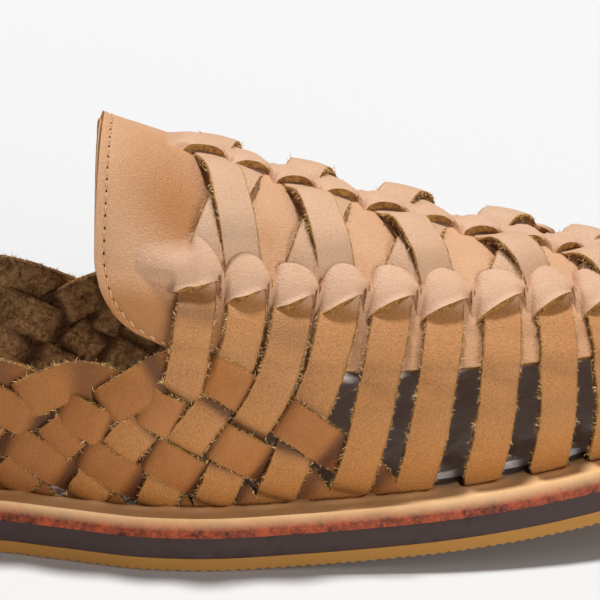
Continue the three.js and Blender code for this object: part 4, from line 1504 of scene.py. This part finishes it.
def leather_material(name, light, dark, deep, pink, speck, seam=False):
    """Grain leather with its raw edges and flesh side told apart by the piece's own values."""
    material, tree, shader, place = start_material(name)
    grain = tree.group("leather_grain", {"Vector": place, "Pore Size": 0.00042, "Mottle Size": 0.011})
    raw = tree.group("raw_fibres", {"Vector": place, "Size": 0.0005})
    tone = tree.attribute("tone")
    cut = tree.attribute("cut")
    flesh = tree.attribute("flesh")
    clouds = tree.math("MULTIPLY", grain["Mottle"], 0.62)
    mottle = tree.math("ADD", clouds, tree.math("MULTIPLY", tone, 0.38))
    face = tree.mix(mottle, light, dark)
    patch = tree.span(tree.noise(place, 46.0, 3.0, 0.5), 0.48, 0.72)
    face = tree.mix(tree.math("MULTIPLY", patch, 0.55), face, pink)
    # Painted shade: the piece's shade value darkens the face toward the deep colour; on the panel it is also
    # burnish
    face = tree.mix(tree.math("MULTIPLY", tree.attribute("shade"), 0.92, True), face, deep)
    specks = tree.span(tree.attribute("shade"), 0.3, 0.9, 0.16, 0.46)
    face = tree.mix(tree.math("MULTIPLY", grain["Speckle"], specks), face, speck)
    edge = tree.mix(raw["Shade"], RAW_DARK, RAW_LIGHT)
    back = tree.mix(raw["Shade"], FLESH_DARK, FLESH_LIGHT)
    colour = tree.mix(tree.span(cut, 0.3, 0.75), face, edge)
    colour = tree.mix(tree.span(flesh, 0.35, 0.75), colour, back)
    # Dark brown of the painted shade in bends beside crossings and along lower cut edges
    colour = tree.mix(tree.math("MULTIPLY", tree.attribute("crease"), 0.8), colour, BEND_SHADE_BROWN)
    rough = tree.math("MAXIMUM", tree.span(cut, 0.2, 0.7, 0.0, 1.0), tree.span(flesh, 0.3, 0.7, 0.0, 1.0))
    gloss = tree.span(grain["Mottle"], 0.0, 1.0, 0.47, 0.6)
    shine = tree.add("Mix", {0: rough}, data_type="FLOAT")
    tree.wire(gloss, shine.inputs[2])
    shine.inputs[3].default_value = 0.92
    tree.wire(shine.outputs[0], shader.inputs["Roughness"])
    fine = tree.math("MULTIPLY", grain["Height"], tree.math("SUBTRACT", 1.0, rough))
    coarse = tree.math("MULTIPLY", raw["Height"], rough)
    normal = bump(tree, fine, 1.0, 0.00024)
    normal = bump(tree, coarse, 1.0, 0.0005, normal)
    if seam:
        lay = tree.add("SeparateXYZ", {0: tree.add("UVMap", uv_map="lay").outputs[0]}).outputs
        step = tree.math("FRACT", tree.math("DIVIDE", lay[0], 0.027))
        near = tree.math("MINIMUM", step, tree.math("SUBTRACT", 1.0, step))
        a = tree.math("MULTIPLY", near, 2.7)
        b = tree.math("MULTIPLY", tree.math("ABSOLUTE", tree.math("SUBTRACT", lay[1], 0.021)), 100.0)
        away = tree.math("SQRT", tree.math("ADD", tree.math("MULTIPLY", a, a), tree.math("MULTIPLY", b, b)))
        hole = tree.span(away, 0.2, 0.42, 1.0, 0.0)
        hole = tree.math("MULTIPLY", hole, tree.math("SUBTRACT", 1.0, rough, clamp=True))
        # Painted shade in the stitch holes
        colour = tree.mix(hole, colour, HOLE_SHADE_BROWN)
        normal = bump(tree, tree.math("SUBTRACT", 1.0, hole), 1.0, 0.0004, normal)
    tree.wire(colour, shader.inputs["Base Color"])
    tree.wire(normal, shader.inputs["Normal"])
    shader.inputs["Specular IOR Level"].default_value = 0.34
    return material


def platform_material(top_light, top_dark, edge_light, edge_dark):
    material, tree, shader, place = start_material("platform_leather")
    grain = tree.group("leather_grain", {"Vector": place, "Pore Size": 0.0004, "Mottle Size": 0.02})
    raw = tree.group("raw_fibres", {"Vector": place, "Size": 0.0008})
    skirt_value = tree.attribute("skirt")
    slot = tree.attribute("slot")
    top = tree.mix(grain["Mottle"], top_light, top_dark)
    top = tree.mix(tree.math("MULTIPLY", grain["Speckle"], 0.2), top, top_dark)
    band = tree.noise(place, 900.0, 5.0, 0.75, 0.6)
    blot = tree.noise(place, 210.0, 4.0, 0.65, 0.4)
    streaks = tree.math("MULTIPLY", band, 0.6)
    dye = tree.span(tree.math("ADD", streaks, tree.math("MULTIPLY", blot, 0.6)), 0.48, 0.72)
    edge = tree.mix(dye, edge_light, edge_dark)
    colour = tree.mix(tree.span(skirt_value, 0.35, 0.75), top, edge)
    # Painted shade in the slots and on the top inside the upper
    colour = tree.mix(tree.span(slot, 0.05, 0.5), colour, linear(64, 40, 26))
    colour = tree.mix(tree.attribute("inner"), colour, linear(70, 44, 28))
    tree.wire(colour, shader.inputs["Base Color"])
    tree.wire(tree.span(skirt_value, 0.3, 0.8, 0.5, 0.62), shader.inputs["Roughness"])
    fine = bump(tree, grain["Height"], 0.4, 0.00006)
    rough = tree.math("MULTIPLY", raw["Height"], tree.span(skirt_value, 0.4, 0.8))
    tree.wire(bump(tree, rough, 0.7, 0.0002, fine), shader.inputs["Normal"])
    shader.inputs["Specular IOR Level"].default_value = 0.45
    return material


def rubber_material(name, light, dark, roughness, grit, depth):
    material, tree, shader, place = start_material(name)
    cloud = tree.span(tree.noise(place, 60.0, 4.0, 0.6), 0.35, 0.65)
    speck = tree.span(tree.noise(place, grit, 3.0, 0.7), 0.3, 0.7)
    blend = tree.math("ADD", tree.math("MULTIPLY", cloud, 0.6), tree.math("MULTIPLY", speck, 0.4))
    tree.wire(tree.mix(blend, light, dark), shader.inputs["Base Color"])
    tree.wire(tree.span(cloud, 0, 1, roughness, roughness + 0.1), shader.inputs["Roughness"])
    tree.wire(bump(tree, speck, 0.5, depth), shader.inputs["Normal"])
    shader.inputs["Specular IOR Level"].default_value = 0.3
    return material


def suede_material():
    material, tree, shader, place = start_material("insole_suede")
    nap = tree.group("raw_fibres", {"Vector": place, "Size": 0.0007})
    broad = tree.span(tree.noise(place, 70.0, 4.0, 0.6, 0.6), 0.35, 0.65)
    colour = tree.mix(nap["Shade"], linear(188, 172, 166), linear(224, 212, 208))
    colour = tree.mix(tree.math("MULTIPLY", broad, 0.5), colour, linear(200, 186, 180))
    # Painted shade, darker towards the heel end of the footbed
    heel = tree.span(tree.add("SeparateXYZ", {0: place}).outputs[0], -0.13, 0.03, 0.5, 0.0)
    colour = tree.mix(heel, colour, linear(112, 88, 74))
    tree.wire(colour, shader.inputs["Base Color"])
    crease = tree.cells(place, 130.0, "DISTANCE_TO_EDGE")
    folds = tree.span(crease, 0.0, 0.12)
    normal = bump(tree, folds, 0.35, 0.0003)
    tree.wire(bump(tree, nap["Height"], 0.8, 0.0003, normal), shader.inputs["Normal"])
    shader.inputs["Roughness"].default_value = 0.95
    shader.inputs["Sheen Weight"].default_value = 0.35
    return material


def thread_material():
    material, tree, shader, place = start_material("seam_thread")
    twist = tree.add("TexWave", {"Vector": place, "Scale": 900.0, "Distortion": 1.5}).outputs["Fac"]
    colour = tree.mix(twist, linear(196, 148, 98), linear(228, 186, 138))
    tree.wire(colour, shader.inputs["Base Color"])
    tree.wire(bump(tree, twist, 0.5, 0.0001), shader.inputs["Normal"])
    shader.inputs["Roughness"].default_value = 0.7
    return material


def fibre_material():
    material, tree, shader, _ = start_material("loose_fibres")
    colour = tree.mix(tree.attribute("tone"), linear(190, 138, 78), linear(244, 208, 148))
    tree.wire(colour, shader.inputs["Base Color"])
    shader.inputs["Roughness"].default_value = 0.85
    return material


# Colours of the pale leathers as a screen shows them: light, dark, deep for the painted shade (and the
# burnish on the panel), pink, speck
LEATHERS = {
    "vamp_leather": ((218, 176, 142), (207, 164, 129), (194, 128, 60), (218, 182, 152), (146, 92, 44)),
    "panel_leather": ((228, 182, 144), (215, 167, 126), (186, 126, 74), (228, 188, 154), (170, 114, 66)),
    "loop_leather": ((220, 178, 146), (208, 163, 128), (182, 122, 72), (222, 186, 162), (168, 114, 70)),
}


def make_materials(finish_values):
    grain_group()
    fibre_group()
    tan = (*finish_values.strap_tan, 1)
    deep = (*finish_values.strap_deep, 1)
    # The third colour is the deep brown of the painted shade
    leather_material(
        "weave_leather", tan, deep, linear(140, 78, 32), linear(184, 122, 70), linear(112, 60, 24)
    )
    for name, shades in LEATHERS.items():
        leather_material(name, *(linear(*shade) for shade in shades), seam=name == "panel_leather")
    platform_material(linear(250, 204, 150), linear(226, 174, 118), linear(190, 84, 38), linear(62, 16, 6))
    rubber_material("gum_rubber", linear(208, 150, 26), linear(172, 118, 18), 0.42, 700.0, 0.00004)
    rubber_material("dark_rubber", linear(60, 36, 28), linear(40, 24, 18), 0.8, 1400.0, 0.00012)
    suede_material()
    thread_material()
    fibre_material()


# Sizes and colours that a user may change

def length_value(name, description, default):
    return FloatProperty(name=name, description=description, default=default, unit="LENGTH")


def colour_value(name, description, default):
    return FloatVectorProperty(name=name, description=description, default=default, subtype="COLOR")


class HuaracheSizes(bpy.types.PropertyGroup):
    strap_width: length_value("Strap Width", "Width of every strap", 0.0086)
    strap_thick: length_value("Strap Thickness", "Thickness of every strap", 0.002)
    panel_thick: length_value("Panel Thickness", "Thickness of the vamp panel", 0.0018)
    stitch_pitch: length_value("Stitch Pitch", "Length of one throat stitch", 0.0027)
    ridge_pitch: length_value("Ridge Pitch", "Spacing of the sole ridges", 0.0022)
    ridge_depth: length_value("Ridge Depth", "Depth of the sole ridges", 0.00045)
    seed: IntProperty(name="Seed", description="Start of the fixed scatter of fibres and tones", default=7)


class HuaracheFinish(bpy.types.PropertyGroup):
    strap_tan: colour_value("Strap Tan", "Lighter colour of the heel straps", linear(194, 127, 64)[:3])
    strap_deep: colour_value("Strap Deep", "Deeper colour of the heel straps", linear(172, 105, 47)[:3])
    floor: colour_value("Floor", "Colour of the studio floor", (0.69, 0.69, 0.69))


class HUARACHE_OT_materials(bpy.types.Operator):
    """Makes the leathers, rubbers, suede and thread"""

    bl_idname = "huarache.materials"
    bl_label = "Materials"
    bl_options = {"REGISTER", "UNDO"}

    def execute(self, context):
        make_materials(context.scene.huarache_finish)
        return {"FINISHED"}


class HUARACHE_OT_sole(bpy.types.Operator):
    """Builds the gum outsole, dark midsole, leather platform and suede insole"""

    bl_idname = "huarache.sole"
    bl_label = "Sole Layers"
    bl_options = {"REGISTER", "UNDO"}

    def execute(self, context):
        sizes = context.scene.huarache_sizes
        gum = outsole_piece(sizes.ridge_pitch * MM, sizes.ridge_depth * MM)
        finish(gum, bpy.data.materials["gum_rubber"], "outsole")
        finish(midsole_piece(), bpy.data.materials["dark_rubber"], "midsole")
        finish(base_piece(), bpy.data.materials["platform_leather"], "leather_base")
        finish(insole_piece(), bpy.data.materials["insole_suede"], "insole")
        return {"FINISHED"}


class HUARACHE_OT_panel(bpy.types.Operator):
    """Builds the vamp panel, its lining ply and its rows of loops"""

    bl_idname = "huarache.panel"
    bl_label = "Vamp Panel and Loops"
    bl_options = {"REGISTER", "UNDO"}

    def execute(self, context):
        thick = context.scene.huarache_sizes.panel_thick * MM
        panel = bpy.data.materials["panel_leather"]
        for piece in (panel_piece(thick), lining_piece()):
            finish(piece, panel, "upper")
            smooth(piece, 50)
        rows = {
            "side_loops_outer": side_loops(-1),
            "side_loops_inner": side_loops(1),
            "centre_loops": centre_loops(),
        }
        for name, grid in rows.items():
            piece = loop_piece(name, grid)
            finish(piece, bpy.data.materials["loop_leather"], "upper")
            smooth(piece, 50)
        return {"FINISHED"}


class HUARACHE_OT_weave(bpy.types.Operator):
    """Laces the border straps round the heel"""

    bl_idname = "huarache.weave"
    bl_label = "Heel Weave"
    bl_options = {"REGISTER", "UNDO"}

    def execute(self, context):
        piece = weave_pieces(("border",), "heel_weave", context.scene.huarache_sizes)
        finish(piece, bpy.data.materials["weave_leather"], "upper")
        return {"FINISHED"}


class HUARACHE_OT_vamp(bpy.types.Operator):
    """Laces the straps over the vamp"""

    bl_idname = "huarache.vamp"
    bl_label = "Vamp Straps"
    bl_options = {"REGISTER", "UNDO"}

    def execute(self, context):
        piece = weave_pieces(("vamp", "toe"), "vamp_straps", context.scene.huarache_sizes)
        finish(piece, bpy.data.materials["vamp_leather"], "upper")
        return {"FINISHED"}


class HUARACHE_OT_trim(bpy.types.Operator):
    """Sews the throat seam and frays the cut edges"""

    bl_idname = "huarache.trim"
    bl_label = "Stitches and Fibres"
    bl_options = {"REGISTER", "UNDO"}

    def execute(self, context):
        sizes = context.scene.huarache_sizes
        stitches = throat_stitches(sizes.stitch_pitch * MM, SEAM_INSET)
        finish(stitches, bpy.data.materials["seam_thread"], "upper")
        for kinds, name in ((("border",), "weave_fibres"), (("vamp", "toe"), "vamp_fibres")):
            piece = edge_fibres(kinds, name, sizes)
            finish(piece, bpy.data.materials["loose_fibres"], "upper")
        return {"FINISHED"}


# Studio in metres: lamps by kind, name, place and power, and the camera with its directions
FLOOR_SIZE = 14
# Paler floor colour behind the shoe, painted light
FAR_FLOOR_PAINTED_LIGHT = (0.735, 0.735, 0.735, 1)
WORLD_LIGHT = 0.15
LAMPS = (
    ("SUN", "overhead_light", (-0.10, 0.46, 1.4), 3.6),
    ("AREA", "front_softbox", (0.9, -1.45, 0.24), 18.0),
)
SUN_ANGLE = math.radians(9)
CAMERA_PLACE = (0.0016, -0.97283, 0.38064)
CAMERA_RIGHT = (0.99939, -0.0349, 0)
CAMERA_UP = (0.01136, 0.32537, 0.94552)
CAMERA_AHEAD = (0.033, 0.9449, -0.3256)
CAMERA_LENS = 273.6
CAMERA_SENSOR = 36


class HUARACHE_OT_studio(bpy.types.Operator):
    """Sets the pale floor, the soft lights and the camera"""

    bl_idname = "huarache.studio"
    bl_label = "Studio"
    bl_options = {"REGISTER", "UNDO"}

    def execute(self, context):
        scene = context.scene
        deselect()
        bpy.ops.mesh.primitive_plane_add(size=FLOOR_SIZE, location=(0, 0, 0))
        floor = context.object
        floor.name = "floor"
        material, tree, shader, place = start_material("studio_floor")
        shade = tree.noise(place, 3.0, 2.0)
        colour = (*scene.huarache_finish.floor, 1)
        colour = tree.mix(tree.math("MULTIPLY", shade, 0.02), colour, (0.6, 0.6, 0.6, 1))
        # Painted light: the floor is paler behind the shoe, where the lamps light it less
        behind = tree.span(tree.add("SeparateXYZ", {0: place}).outputs[1], -0.05, 0.5)
        tree.wire(tree.mix(behind, colour, FAR_FLOOR_PAINTED_LIGHT), shader.inputs["Base Color"])
        shader.inputs["Roughness"].default_value = 1.0
        shader.inputs["Specular IOR Level"].default_value = 0.0
        floor.data.materials.append(material)
        world = bpy.data.worlds.new("studio_light")
        world.use_nodes = True
        background = world.node_tree.nodes["Background"]
        background.inputs["Color"].default_value = (1, 1, 1, 1)
        background.inputs["Strength"].default_value = WORLD_LIGHT
        scene.world = world
        for kind, name, place, power in LAMPS:
            bpy.ops.object.light_add(type=kind, location=place)
            lamp = context.object
            lamp.name = name
            lamp.data.energy = power
            lamp.rotation_euler = (-Vector(place)).to_track_quat("-Z", "Y").to_euler()
            if kind == "SUN":
                lamp.data.angle = SUN_ANGLE
            else:
                lamp.data.shape = "DISK"
                lamp.data.size = 1.0
        scene.view_settings.view_transform = "Standard"
        bpy.ops.object.camera_add(location=CAMERA_PLACE)
        camera = context.object
        camera.name = "camera"
        axes = zip(CAMERA_RIGHT, CAMERA_UP, CAMERA_AHEAD, camera.location)
        rows = [(right, up, -ahead, place) for right, up, ahead, place in axes]
        camera.matrix_world = Matrix((*rows, (0, 0, 0, 1)))
        camera.data.sensor_width = CAMERA_SENSOR
        camera.data.lens = CAMERA_LENS
        camera.data.clip_start = 0.05
        camera.data.clip_end = 50
        scene.camera = camera
        return {"FINISHED"}


class HUARACHE_PT_panel(bpy.types.Panel):
    """Shows the sizes, colours and steps of the shoe"""

    bl_idname = "HUARACHE_PT_panel"
    bl_label = "Huarache"
    bl_space_type = "VIEW_3D"
    bl_region_type = "UI"
    bl_category = "Huarache"

    def draw(self, context):
        for group in (context.scene.huarache_sizes, context.scene.huarache_finish):
            for key in group.__annotations__:
                self.layout.prop(group, key)
        for step in STEPS:
            self.layout.operator(step.bl_idname)


STEPS = (
    HUARACHE_OT_materials, HUARACHE_OT_sole, HUARACHE_OT_panel, HUARACHE_OT_weave,
    HUARACHE_OT_vamp, HUARACHE_OT_trim, HUARACHE_OT_studio,
)
CLASSES = (HuaracheSizes, HuaracheFinish, *STEPS, HUARACHE_PT_panel)


def register():
    for each in CLASSES:
        bpy.utils.register_class(each)
    bpy.types.Scene.huarache_sizes = PointerProperty(type=HuaracheSizes)
    bpy.types.Scene.huarache_finish = PointerProperty(type=HuaracheFinish)


def unregister():
    del bpy.types.Scene.huarache_sizes
    del bpy.types.Scene.huarache_finish
    for each in reversed(CLASSES):
        bpy.utils.unregister_class(each)


def main():
    register()
    bpy.ops.huarache.materials()
    bpy.ops.huarache.sole()
    bpy.ops.huarache.panel()
    bpy.ops.huarache.weave()
    bpy.ops.huarache.vamp()
    bpy.ops.huarache.trim()
    bpy.ops.huarache.studio()


if __name__ == "__main__":
    main()
